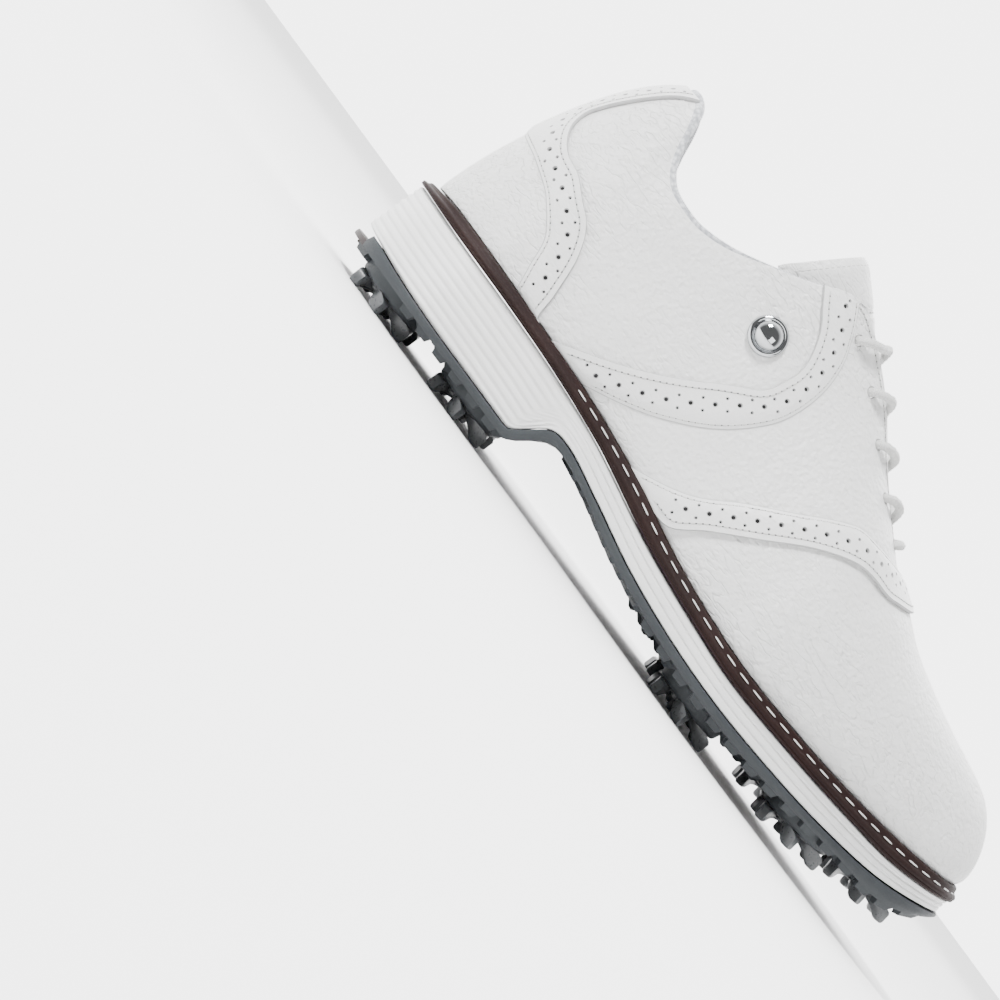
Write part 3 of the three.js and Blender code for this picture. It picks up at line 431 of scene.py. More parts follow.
def flat_mesh(outline, holes, spacing, within=None):
    """Triangles over a flat outline with holes cut through it, kept inside `within` if it is given."""
    loops = [np.asarray(outline, float), *[np.asarray(hole, float) for hole in holes]]
    bounds_loops = [] if within is None else [np.asarray(within, float)]
    low, high = loops[0].min(0), loops[0].max(0)
    columns = np.arange(low[0], high[0], spacing)
    rows = np.arange(low[1], high[1], spacing * 0.87)
    x, y = np.meshgrid(columns, rows)
    x = x + (np.arange(len(rows)) % 2)[:, None] * spacing / 2
    grid = np.stack([x.ravel(), y.ravel()], -1)
    grid = grid[inside(grid, loops[0])]
    every = loops + bounds_loops
    border = np.vstack([resample(np.vstack([loop, loop[:1]]), step=spacing / 3) for loop in every])
    near = np.ones(len(grid), bool)
    for start in range(0, len(border), 400):
        gap = np.linalg.norm(grid[:, None] - border[None, start:start + 400], axis=-1).min(1)
        near &= gap > spacing * 0.5
    for loop in loops[1:]:
        near &= ~inside(grid, loop)
    points = np.vstack([*every, grid[near]])
    edges, start = [], 0
    for loop in every:
        ring = list(range(start, start + len(loop)))
        edges += list(zip(ring, ring[1:] + ring[:1]))
        start += len(loop)
    result = delaunay_2d_cdt([Vector(p) for p in points], edges, [], 0, 1e-5)
    flat = np.array([tuple(p) for p in result[0]])
    faces = np.array([tuple(f) for f in result[2]])
    middle = flat[faces].mean(1)
    keep = inside(middle, loops[0])
    for loop in loops[1:]:
        keep &= ~inside(middle, loop)
    for loop in bounds_loops:
        keep &= inside(middle, loop)
    return flat, faces[keep]


def make(name, points, faces, material, nodes=(), body="shoe", slot=None):
    """Smooth mesh object from points in millimetres."""
    mesh = bpy.data.meshes.new(name)
    mesh.from_pydata(world(points).tolist(), [], [list(map(int, face)) for face in faces])
    mesh.validate()
    mesh.shade_smooth()
    mesh.set_sharp_from_angle(angle=math.radians(50))
    mesh.materials.append(material)
    piece = bpy.data.objects.new(name, mesh)
    bpy.context.scene.collection.objects.link(piece)
    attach(piece, body)
    if nodes:
        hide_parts(*nodes)
    return piece


def joined(parts):
    """Several (points, faces) pairs as one."""
    points, faces, start = [], [], 0
    for part_points, part_faces in parts:
        points.append(part_points)
        faces += [[i + start for i in face] for face in part_faces]
        start += len(part_points)
    return np.vstack(points), faces


def lathe(profile, segments):
    """Closed turned form about Z from a (radius, height) profile that starts and ends on the axis."""
    rings = [at_height(circle(r, segments), z) for r, z in profile[1:-1]]
    return pointed_rings(rings, [0, 0, profile[0][1]], [0, 0, profile[-1][1]])


def tube(path, radius, sides, bump):
    """Closed round tube along a path; bump(length, angle) is added to its radius."""
    along = unit(np.gradient(path, axis=0))
    side = unit(np.cross(along[0], (0.3, 0.2, 1)))
    frames = []
    for direction in along:
        side = unit(side - direction * (side @ direction))
        frames.append((side, np.cross(direction, side)))
    length = np.concatenate([[0], np.cumsum(np.linalg.norm(np.diff(path, axis=0), axis=1))])
    angle = np.arange(sides) * 2 * np.pi / sides
    rings = []
    for k, (first, second) in enumerate(frames):
        reach = radius + bump(length[k], angle)
        ring = np.cos(angle)[:, None] * first + np.sin(angle)[:, None] * second
        rings.append(path[k] + reach[:, None] * ring)
    return pointed_rings(rings, path[0], path[-1])


STITCH_FORM = lathe([(0, -1), (0.55, -0.92), (0.95, -0.6), (1, 0), (0.95, 0.6), (0.55, 0.92), (0, 1)], 8)


def stitches(places, directions, normals, length, radius):
    """Thread stitches lying along the surface, each a small capsule."""
    form, form_faces = STITCH_FORM
    parts = []
    for place, along, normal in zip(places, unit(directions), unit(normals)):
        across = np.cross(normal, along)
        points = (
            place + form[:, :1] * radius * across + form[:, 1:2] * radius * 0.8 * normal
            + form[:, 2:] * length / 2 * along
        )
        parts.append((points, form_faces))
    return joined(parts)

# ---- Materials ------------------------------------------------------------------------------


class Paint:
    """A material under construction: its Principled shader and short ways to add nodes."""

    def __init__(self, name, color, roughness, **values):
        self.material = bpy.data.materials.new(name)
        self.material.use_nodes = True
        self.tree = self.material.node_tree
        self.shader = self.tree.nodes["Principled BSDF"]
        self.set("Base Color", (*color, 1))
        self.set("Roughness", roughness)
        for key, value in values.items():
            self.set(key.replace("_", " "), value)
        self.place = self.add("ShaderNodeTexCoord").outputs["Object"]

    def set(self, socket, value):
        self.shader.inputs[socket].default_value = value

    def add(self, kind, **inputs):
        node = self.tree.nodes.new(kind)
        for key, value in inputs.items():
            socket = node.inputs[key.replace("_", " ")]
            if isinstance(value, bpy.types.NodeSocket):
                self.tree.links.new(value, socket)
            else:
                socket.default_value = value
        return node

    def noise(self, scale, detail=3.0, roughness=0.55, place=None):
        node = self.add("ShaderNodeTexNoise", Vector=place or self.place, Scale=scale, Detail=detail,
                        Roughness=roughness)
        return node.outputs["Fac"]

    def turned(self, angle, stretch):
        """The place turned in side view by angle and drawn out along that direction."""
        node = self.add("ShaderNodeMapping", Vector=self.place, Rotation=(0, angle, 0),
                        Scale=(1 / stretch, 1, 1))
        return node.outputs["Vector"]

    def cells(self, scale, feature="F1"):
        node = self.add("ShaderNodeTexVoronoi", Vector=self.place, Scale=scale)
        node.feature = feature
        return node.outputs["Distance"]

    def span(self, value, low, high, from_low=0.0, from_high=1.0):
        node = self.tree.nodes.new("ShaderNodeMapRange")
        self.tree.links.new(value, node.inputs["Value"])
        node.inputs["From Min"].default_value = from_low
        node.inputs["From Max"].default_value = from_high
        node.inputs["To Min"].default_value = low
        node.inputs["To Max"].default_value = high
        return node.outputs["Result"]

    def math(self, operation, a, b):
        node = self.tree.nodes.new("ShaderNodeMath")
        node.operation = operation
        for socket, value in zip(node.inputs, (a, b)):
            if isinstance(value, bpy.types.NodeSocket):
                self.tree.links.new(value, socket)
            else:
                socket.default_value = value
        return node.outputs["Value"]

    def mix(self, amount, first, second):
        node = self.tree.nodes.new("ShaderNodeMix")
        node.data_type = "RGBA"
        self.tree.links.new(amount, node.inputs["Factor"])
        node.inputs["A"].default_value = (*first, 1)
        node.inputs["B"].default_value = (*second, 1)
        return node.outputs["Result"]

    def link(self, value, socket):
        self.tree.links.new(value, self.shader.inputs[socket])
        return self

    def bump(self, height, distance, strength=1.0):
        node = self.add("ShaderNodeBump", Height=height, Distance=distance, Strength=strength)
        return self.link(node.outputs["Normal"], "Normal")


CREASE_SLOPE = 36.0


def leather(name, color, shade, roughness=0.42, grain=620.0, depth=0.0009):
    """Drummed leather: pebbles with fine pores, and long soft creases."""
    paint = Paint(name, color, roughness, Specular_IOR_Level=0.42, Coat_Weight=0.06, Coat_Roughness=0.35)
    pebble = paint.cells(grain, "SMOOTH_F1")
    pores = paint.noise(grain * 3.1, 2.0)
    crease = paint.noise(70.0, 4.0, 0.62)
    lines = paint.noise(260.0, 2.0, 0.6, paint.turned(math.radians(CREASE_SLOPE), 3.2))
    fold = paint.math("ABSOLUTE", paint.math("SUBTRACT", lines, 0.5), 0.0)
    fold = paint.span(fold, 0.0, 1.0, 0.0, 0.05)
    patch = paint.span(paint.noise(16.0, 1.0), 0.0, 1.0, 0.38, 0.6)
    folds = paint.math("MULTIPLY", fold, patch)
    height = paint.math("MULTIPLY", pebble, 0.62)
    for relief, share in ((pores, 0.22), (crease, 1.7), (folds, 0.42)):
        height = paint.math("ADD", height, paint.math("MULTIPLY", relief, share))
    paint.bump(height, depth, 0.8)
    cloudy = paint.math("MULTIPLY", paint.noise(14.0), 0.65)
    tone = paint.math("ADD", paint.math("MULTIPLY", pores, 0.35), cloudy)
    paint.link(paint.mix(paint.span(tone, 0, 1, 0.3, 0.75), color, shade), "Base Color")
    paint.link(paint.span(pebble, roughness - 0.06, roughness + 0.1), "Roughness")
    return paint.material


def knit(name, color, dark, scale=720.0, depth=0.0003):
    """Speckled knit lining, darker in the grooves between the loops: real speckle plus painted shade in the
    grooves.
    """
    paint = Paint(name, color, 0.9, Sheen_Weight=0.25, Sheen_Roughness=0.5)
    loops = paint.cells(scale)
    fleck = paint.noise(scale * 0.8, 1.0)
    paint.bump(paint.math("SUBTRACT", 1.0, loops), depth, 0.8)
    # Darker where the loops' relief is low: painted shade in the grooves, mixed with real speckle from the
    # flecks.
    shade = paint.math("ADD", paint.math("MULTIPLY", loops, 0.9), paint.math("MULTIPLY", fleck, 0.6))
    paint.link(paint.mix(paint.span(shade, 0, 1, 0.35, 0.95), color, dark), "Base Color")
    return paint.material


def moulded(name, color, shade, roughness, grain=1400.0, depth=0.00004, **values):
    """Moulded rubber, foam or plastic: fine texture, slow colour drift and uneven gloss."""
    paint = Paint(name, color, roughness, **values)
    fine = paint.noise(grain, 2.0)
    slow = paint.noise(45.0, 3.0)
    paint.bump(paint.math("ADD", fine, paint.math("MULTIPLY", slow, 0.5)), depth, 0.6)
    paint.link(paint.mix(paint.span(slow, 0, 1, 0.3, 0.7), color, shade), "Base Color")
    paint.link(paint.span(fine, roughness - 0.08, roughness + 0.08, 0.3, 0.7), "Roughness")
    return paint.material


WHITE = leather("leather_white", (0.66, 0.66, 0.655), (0.61, 0.61, 0.605))
BAND = leather("leather_band", (0.65, 0.65, 0.645), (0.61, 0.61, 0.605), 0.45, 900.0, 0.00022)
TONGUE_SKIN = leather("leather_tongue", (0.66, 0.66, 0.655), (0.62, 0.62, 0.615), 0.44, 760.0, 0.0004)
# Near-black: painted shade inside the band's punched holes.
PAINTED_PERFORATION_SHADE = moulded("perforation_painted_shade", (0.055, 0.055, 0.055), (0.04, 0.04, 0.04), 0.9)
NEEDLE_SHADE = moulded("needle_hole_shade", (0.13, 0.13, 0.13), (0.09, 0.09, 0.09), 0.9)
# Mid grey: painted shade for the bands' side walls.
CUT_EDGE_PAINTED_SHADE = leather("leather_cut_edge_painted_shade", (0.40, 0.40, 0.40), (0.32, 0.32, 0.32), 0.6, 1500.0, 0.0002)
# Grey though the thread is white: painted shade that makes the stitches stand out.
THREAD_WITH_PAINTED_SHADE = moulded("white_thread_painted_shade", (0.54, 0.54, 0.53), (0.44, 0.44, 0.43), 0.6, 5200.0, 0.00005)
KNIT = knit("knit_lining", (0.62, 0.63, 0.65), (0.30, 0.31, 0.33))
INNER_LINING = knit("inner_lining", (0.62, 0.63, 0.65), (0.46, 0.47, 0.49), 900.0, 0.0002)
SOCK = knit("sockliner_knit", (0.58, 0.59, 0.61), (0.40, 0.41, 0.43), 600.0, 0.0003)
FOAM = moulded("midsole_foam", (0.70, 0.70, 0.695), (0.66, 0.66, 0.655), 0.5, 2200.0, 0.00003)
WELT_LEATHER = moulded("welt_leather", (0.013, 0.0052, 0.0045), (0.009, 0.0038, 0.0034), 0.6, 1500.0,
                       0.00008, Specular_IOR_Level=0.12)
RUBBER = moulded("outsole_rubber", (0.030, 0.034, 0.037), (0.023, 0.026, 0.029), 0.55, 1700.0, 0.00005,
                 Specular_IOR_Level=0.25)
INSERT = moulded("insert_brown", (0.016, 0.0072, 0.0062), (0.011, 0.005, 0.0045), 0.5, 1700.0, 0.00004,
                 Specular_IOR_Level=0.2)
SPIKE_TPU = moulded("spike_tpu", (0.075, 0.078, 0.082), (0.052, 0.055, 0.058), 0.32, 900.0, 0.00003,
                    Specular_IOR_Level=0.45)
SOCKET_NYLON = moulded("socket_nylon", (0.02, 0.021, 0.023), (0.014, 0.015, 0.016), 0.5)
BOARD = moulded("insole_board", (0.40, 0.29, 0.17), (0.33, 0.24, 0.14), 0.9, 500.0, 0.0001)
STIFFENER_FIBRE = moulded("stiffener_fibre", (0.60, 0.54, 0.43), (0.52, 0.47, 0.38), 0.85, 700.0, 0.00008)


def braid():
    paint = Paint("lace_braid", (0.78, 0.78, 0.77), 0.72, Sheen_Weight=0.2)
    yarn = paint.noise(3600.0, 2.0)
    paint.bump(yarn, 0.0002, 0.7)
    # Colour runs from dark where the yarn relief is low to light where it is high: painted shade in the
    # crevices of the braid.
    tone = paint.mix(paint.span(yarn, 0, 1, 0.35, 0.7), (0.36, 0.36, 0.35), (0.62, 0.62, 0.61))
    paint.link(tone, "Base Color")
    return paint.material


def metal(name, color, roughness):
    """Plated or drawn metal with faint polishing marks."""
    paint = Paint(name, color, roughness, Metallic=1.0)
    marks = paint.noise(260.0, 4.0)
    paint.link(paint.span(marks, roughness * 0.6, roughness * 1.7, 0.3, 0.7), "Roughness")
    paint.bump(marks, 0.00001, 0.3)
    return paint.material


LACE_BRAID = braid()
CHROME = metal("chrome", (0.42, 0.43, 0.44), 0.07)
STEEL = metal("shank_steel", (0.55, 0.56, 0.57), 0.35)

# ---- Camera, floor and light ----------------------------------------------------------------

CAMERA_ROLL = math.radians(53.68)
CAMERA_RISE = math.radians(2.5)
CAMERA_LENS = 100.0
CAMERA_REACH = 0.942
AIM = Vector(world((102.3, 0.0, -4.6)))
FLOOR_HALF = 6.0
FRONT_GLOW, BACK_GLOW = 0.25, 5.0
GLOW_FROM, GLOW_TO = -0.45, 0.6


def build_stage():
    away = Vector((0, math.cos(CAMERA_RISE), -math.sin(CAMERA_RISE)))
    level = Vector((1, 0, 0))
    upright = level.cross(away)
    right = level * math.cos(CAMERA_ROLL) + upright * math.sin(CAMERA_ROLL)
    up = right.cross(away)
    camera = bpy.data.objects.new("camera", bpy.data.cameras.new("camera"))
    camera.data.lens = CAMERA_LENS
    camera.data.sensor_width = 36.0
    camera.data.clip_start = 0.01
    spin = Matrix((right, up, -away)).transposed()
    camera.matrix_world = Matrix.Translation(AIM - away * CAMERA_REACH) @ spin.to_4x4()
    bpy.context.scene.collection.objects.link(camera)
    bpy.context.scene.camera = camera

    mesh = bpy.data.meshes.new("floor")
    h = FLOOR_HALF
    mesh.from_pydata([(-h, -h, 0), (h, -h, 0), (h, h, 0), (-h, h, 0)], [], [(0, 1, 2, 3)])
    paint = Paint("floor", (0.93, 0.93, 0.93), 0.7)
    paint.link(paint.mix(paint.noise(6.0), (0.925, 0.925, 0.925), (0.935, 0.935, 0.935)), "Base Color")
    mesh.materials.append(paint.material)
    floor = bpy.data.objects.new("floor", mesh)
    bpy.context.scene.collection.objects.link(floor)

    studio = bpy.data.worlds.new("studio")
    studio.use_nodes = True
    tree = studio.node_tree
    direction = tree.nodes.new("ShaderNodeTexCoord")
    split = tree.nodes.new("ShaderNodeSeparateXYZ")
    ramp = tree.nodes.new("ShaderNodeMapRange")
    ramp.inputs["From Min"].default_value, ramp.inputs["From Max"].default_value = GLOW_FROM, GLOW_TO
    ramp.inputs["To Min"].default_value, ramp.inputs["To Max"].default_value = FRONT_GLOW, BACK_GLOW
    tree.links.new(direction.outputs["Generated"], split.inputs["Vector"])
    tree.links.new(split.outputs["Y"], ramp.inputs["Value"])
    background = tree.nodes["Background"]
    tree.links.new(ramp.outputs["Result"], background.inputs["Strength"])
    background.inputs["Color"].default_value = (1, 1, 1, 1)
    bpy.context.scene.world = studio

    lights = (
        ("key", (-0.85, -0.7, 1.4), 0.4, 78.0),
        ("front", (0.9, -1.8, 0.6), 0.9, 11.0),
        ("back", (0.2, 1.6, 1.3), 1.2, 26.0),
    )
    for name, place, size, power in lights:
        light = bpy.data.lights.new(name, "AREA")
        light.shape, light.size, light.energy = "SQUARE", size, power
        lamp = bpy.data.objects.new(name, light)
        lamp.location = place
        aim = Vector((0, 0, 0.05)) - Vector(place)
        lamp.rotation_euler = aim.to_track_quat("-Z", "Y").to_euler()
        bpy.context.scene.collection.objects.link(lamp)


build_stage()

# ---- Upper ----------------------------------------------------------------------------------

LEATHER = 1.4
EYELET_X = (130, 146.2, 161.5, 177.1, 192)
EYELET_FROM_EDGE = 7.5
EYELET_HOLE = 2.15


def below_edge(p, distance):
    """q of the place a distance below the top edge, measured along the rib (lateral side)."""
    q = np.linspace(CHART_Q, 0, 400)
    line = chart_point(np.full_like(q, p), q)
    reach = np.concatenate([[0], np.cumsum(np.linalg.norm(np.diff(line, axis=0), axis=1))])
    return float(np.interp(distance, reach, q))


def rib_at(x, start=0.2, end=0.9, count=3000):
    """p of the rib whose top stands at x, between two turns of the outline."""
    u = np.linspace(start, end, count)
    return float(np.interp(x, smooth(TOP_X, u), u)) * CHART_P


EYELETS = [(rib_at(x), below_edge(rib_at(x), EYELET_FROM_EDGE)) for x in EYELET_X]


def seam_x(seam, z):
    x, height = np.array(seam, float).T
    return np.interp(z, height, x)


def upper_grid(side):
    """Chart rows and columns, finer round the eyelets."""
    rows = np.linspace(0, CHART_P, 230)
    fine = [p + k * 0.55 for p, _ in EYELETS for k in range(-7, 8)]
    rows = np.unique(np.round(np.concatenate([rows, fine]), 3))
    rows = rows[np.concatenate([[True], np.diff(rows) > 0.3])]
    rows[-1] = CHART_P
    columns = np.concatenate([np.linspace(0, 76, 44, endpoint=False), np.linspace(76, CHART_Q, 32)])
    p, q = np.meshgrid(rows, columns, indexing="ij")
    return (p if side == LATERAL else -p), q


def eyelet_cut(points, faces, side):
    """Opens a round hole at each eyelet."""
    kept = faces
    for p, q in EYELETS:
        centre = chart_point(side * -p, q)
        middle = points[kept].mean(1)
        kept = kept[np.linalg.norm(middle - centre, axis=1) > EYELET_HOLE]
        near = np.linalg.norm(points[kept].mean(1) - centre, axis=1) < EYELET_HOLE + 3
        rim_ids = {i for edge in open_edges([list(map(int, f)) for f in kept[near]]) for i in edge}
        rim_ids = np.array([i for i in rim_ids if np.linalg.norm(points[i] - centre) < EYELET_HOLE + 1.1])
        away = unit(points[rim_ids] - centre)
        points[rim_ids] = centre + away * EYELET_HOLE
    return kept


def build_leather():
    panels = {}
    for side, name in ((LATERAL, "lateral"), (MEDIAL, "medial")):
        p, q = upper_grid(side)
        outer = chart_offset(p, q, 0.0).reshape(-1, 3)
        inner = chart_offset(p, q, -LEATHER).reshape(-1, 3)
        faces = grid_faces(*p.shape, flip=side == MEDIAL)
        faces = eyelet_cut(outer, faces, side)
        for part_p, part_q in EYELETS:
            centre = chart_point(side * -part_p, part_q)
            near = np.linalg.norm(outer - centre, axis=1) < EYELET_HOLE + 0.02
            inner[near] = outer[near] - LEATHER * chart_normal(side * -part_p, part_q)
        middle = outer[faces].mean(1)
        x, z = middle[:, 0], middle[:, 2]
        vamp = x > seam_x(VAMP_SEAM, z)
        counter = (x < seam_x(COUNTER_SEAM, z)) & (z < 84)
        quarter = (x < seam_x(SADDLE_SEAM, z)) & ~counter & ~vamp
        saddle = ~vamp & ~counter & ~quarter
        for key, chosen in (("vamp", vamp), ("heel_counter", counter),
                            (f"quarter_{name}", quarter), (f"saddle_{name}", saddle)):
            panels.setdefault(key, []).append((outer, inner, faces[chosen]))
    for key, sheets in panels.items():
        make(f"{key}_leather", *welded_shell(sheets, 0.35), WHITE, [key], slot="leather_white")


# ---- Bands ----------------------------------------------------------------------------------

BAND_LOW, BAND_HIGH = 0.32, 1.5
BIG_HOLE, SMALL_HOLE = 0.92, 0.6
HOLE_PITCH, PAIR_OFFSET = 7.7, 2.1
HOLES_FROM, HOLES_CLEAR = 6.0, 4.0
HOLE_SHARE = 0.54
STITCH_PITCH, STITCH_LENGTH, STITCH_RADIUS = 2.1, 1.5, 0.3
BAND_THIN, SKIVE = 0.3, 3.4
NEEDLE_SHADE_LENGTH = 0.75
RAISED_INSET, FLUSH_INSET = 2.0, 1.1


def frame_at(p, q, ahead):
    """Place, unit direction along the line, and unit direction across it, on the surface."""
    normal = chart_normal(p, q)
    along = unit(ahead - normal * (ahead * normal).sum(-1, keepdims=True))
    return along, np.cross(normal, along), normal


def line_steps(line, step):
    """Evenly spaced chart places along a chart line, with their directions in space."""
    fine = resample(line, count=600)
    points = chart_point(fine[:, 0], fine[:, 1])
    reach = np.concatenate([[0], np.cumsum(np.linalg.norm(np.diff(points, axis=0), axis=1))])
    count = max(2, int(reach[-1] / step))
    at = (np.arange(count) + 0.5) * reach[-1] / count
    p = np.interp(at, reach, fine[:, 0])
    q = np.interp(at, reach, fine[:, 1])
    ahead = np.stack([np.interp(at, reach, np.gradient(points[:, k])) for k in range(3)], -1)
    return p, q, ahead


def chart_circle(p, q, radius, sides):
    angle = np.arange(sides) * 2 * np.pi / sides
    along, up = chart_slopes(p, q)
    first = unit(along)
    second = unit(up - first * (up @ first))
    step = radius * (np.cos(angle)[:, None] * first + np.sin(angle)[:, None] * second)
    return np.stack(nudge(np.full(sides, p), np.full(sides, q), step), -1)


def on_leather(p, q, low, clear):
    """Which chart places lie between the welt and the opening's edge, clear of both."""
    past_opening = abs(p) > RIDGE * CHART_P - 6
    return (q > low) & (past_opening | (q < CHART_Q - clear))


def perforations(line):
    """Circles in the chart: a large hole each pitch on the line, a small pair between."""
    p, q, ahead = line_steps(line, HOLE_PITCH / 2)
    _, across, _ = frame_at(p, q, ahead)
    circles = []
    for k in range(len(p)):
        if k % 2 == 0:
            circles.append((p[k], q[k], BIG_HOLE))
            continue
        for sign in (1, -1):
            a, b = nudge(p[k], q[k], across[k] * sign * PAIR_OFFSET)
            circles.append((float(a), float(b), SMALL_HOLE))
    return [circle for circle in circles if on_leather(circle[0], circle[1], HOLES_FROM, HOLES_CLEAR)]


def inset_line(line, distance):
    """Chart line moved sideways on the surface; positive goes to the left of its direction."""
    points = chart_point(line[:, 0], line[:, 1])
    _, across, _ = frame_at(line[:, 0], line[:, 1], np.gradient(points, axis=0))
    return np.stack(nudge(line[:, 0], line[:, 1], across * distance), -1)


def surface_line(line):
    return chart_point(line[:, 0], line[:, 1])


def band_height(points, flush):
    """Height of the band's face: full thickness, thinned down to the panel beside its flush edges."""
    near = np.full(len(points), 1e9)
    for line in flush:
        for spot in surface_line(resample(line, count=260)):
            near = np.minimum(near, np.linalg.norm(points - spot, axis=1))
    return BAND_THIN + (BAND_HIGH - BAND_THIN) * ease(0, SKIVE, near)


def sew(name, lines, height, slot):
    """Rows of stitches on chart lines, with a dark capsule between each two stitches as painted shade for
    the needle hole.
    """
    sewn, painted_needle_marks = [], []
    for line in lines:
        p, q, ahead = line_steps(line, STITCH_PITCH)
        along, _, normal = frame_at(p, q, ahead)
        spots = chart_offset(p, q, height(p, q))
        sewn.append(stitches(spots, along, normal, STITCH_LENGTH, STITCH_RADIUS))
        # Dark capsules sunk between the stitches: painted shade standing in for the needle holes.
        between = (spots[1:] + spots[:-1]) / 2 - normal[1:] * 0.12
        painted_needle_marks.append(stitches(between, along[1:], normal[1:], NEEDLE_SHADE_LENGTH, STITCH_RADIUS))
    make(name, *joined(sewn), THREAD_WITH_PAINTED_SHADE, slot=slot)
    make(f"{name}_needle_hole_painted_shade", *joined(painted_needle_marks), NEEDLE_SHADE, slot=slot)


def band_piece(name, outline, circles, node, rows, flush):
    """Leather band over a chart outline, with punched holes, near-black discs of painted shade under them,
    and rows of stitches.
    """
    rings = [chart_circle(a, b, r, 12 if r == BIG_HOLE else 8) for a, b, r in circles]
    flat, faces = flat_mesh(outline, rings, 2.2)
    ground = surface_line(flat)
    outer = chart_offset(flat[:, 0], flat[:, 1], band_height(ground, flush))
    inner = chart_offset(flat[:, 0], flat[:, 1], BAND_LOW - 0.25)
    a, b, c = outer[faces[0]]
    if np.cross(b - a, c - a) @ (outer[faces[0][0]] - inner[faces[0][0]]) < 0:
        faces = faces[:, ::-1]
    points, skin = shell(outer, inner, faces, 0.28, 4)
    band = make(f"{name}_leather", points, skin, BAND, [node], slot="leather_band")
    # The band's side walls are grey: painted shade along its raised edges.
    band.data.materials.append(CUT_EDGE_PAINTED_SHADE)
    for face in list(band.data.polygons)[2 * len(faces):]:
        face.material_index = 1
    # Near-black discs just under the punched holes: painted shade inside each hole.
    painted_hole_shade = []
    for a, b, r in circles:
        ring = chart_circle(a, b, r + 0.25, 10)
        low = chart_offset(ring[:, 0], ring[:, 1], 0.02)
        high = chart_offset(ring[:, 0], ring[:, 1], 0.4)
        painted_hole_shade.append(shell(high, low, [list(range(10))], 0.0, 1))
    make(f"{name}_backing", *joined(painted_hole_shade), PAINTED_PERFORATION_SHADE, slot="leather_band")
    height = lambda p, q: band_height(chart_point(p, q), flush) + 0.05
    sew(f"{name}_stitches", [line[on_leather(*line.T, 1.5, 1.0)] for line in rows], height, "leather_band")


HEEL_ROW_INSET = 5.6
LINE_STEPS = 10


REAR_BAND_REAR = [(75.4, 37.6), (95, 58), (112, 74), (123.5, 85.5), (126.2, 94), (125.9, 102.5),
                  (120.5, 112.3), (114, 118.4), (106.5, 121.2)]
REAR_BAND_FRONT = [(93.4, 37.4), (112, 55), (124.5, 66.5), (133, 79.4), (136.4, 89.9), (136.4, 102.5),
                   (133, 113.3), (127.9, 120.8), (120.4, 129.2)]
FRONT_BAND_REAR = [(126.9, 37), (137.4, 47.5), (150, 60.1), (162.9, 71.9), (174.4, 82.5),
                   (179.8, 86.0), (188.3, 87.4)]
FRONT_BAND_FRONT = [(141.5, 36.4), (150, 45.5), (162.9, 58), (175.4, 69.9), (188.3, 78.0),
                    (200.9, 79.4)]
# Chart places that round the band's two edges over the vamp's middle.
FRONT_BAND_REAR_NOSE = [(268.2, 77), (273.4, 87.5)]
FRONT_BAND_FRONT_NOSE = [(279, 66.5), (284.3, 76.5), (287.2, 88)]
HEEL_BAND_REAR = [(50.2, 43), (47.2, 49.5), (42.1, 60), (33.6, 66.5), (20.7, 71.9), (9, 75.4)]
HEEL_BAND_FRONT = [(61.5, 43), (59, 51.6), (53.6, 64.5), (46.1, 73), (35.6, 78.4), (25.1, 81.4),
                   (18.7, 86.9), (17, 94), (18.7, 100.4), (25.1, 113.3), (30.5, 121.5)]


def at_welt(x, z, shift=0):
    """Chart place on the welt, below the place that a side view shows at x and z."""
    return [[locate(x, z)[0] + shift, 0.0]]


def chart_line(table, start, end):
    """Chart line from start through side-view places to end; start and end are chart places."""
    p, q = locate(*np.array(table, float).T)
    keep = (q > 0.5) & (q < CHART_Q - 0.5)
    return catmull(np.vstack([start, np.stack([p, q], -1)[keep], end]), LINE_STEPS)


def over_ridge(table, start, nose, x):
    """A chart line that crosses the middle of the vamp at x and comes down the other side."""
    p, q = locate(*np.array(table, float).T)
    half = np.vstack([start, np.stack([p, q], -1)[q > 0.5], nose])
    far = (half * (1, -1) + (0, 2 * CHART_Q))[::-1]
    return catmull(np.vstack([half, [[rib_at(x), CHART_Q]], far]), LINE_STEPS)


def hole_line(flush, raised, count):
    """Line between a band's two edges, a little nearer the flush one."""
    return HOLE_SHARE * resample(flush, count=count) + (1 - HOLE_SHARE) * resample(raised, count=count)


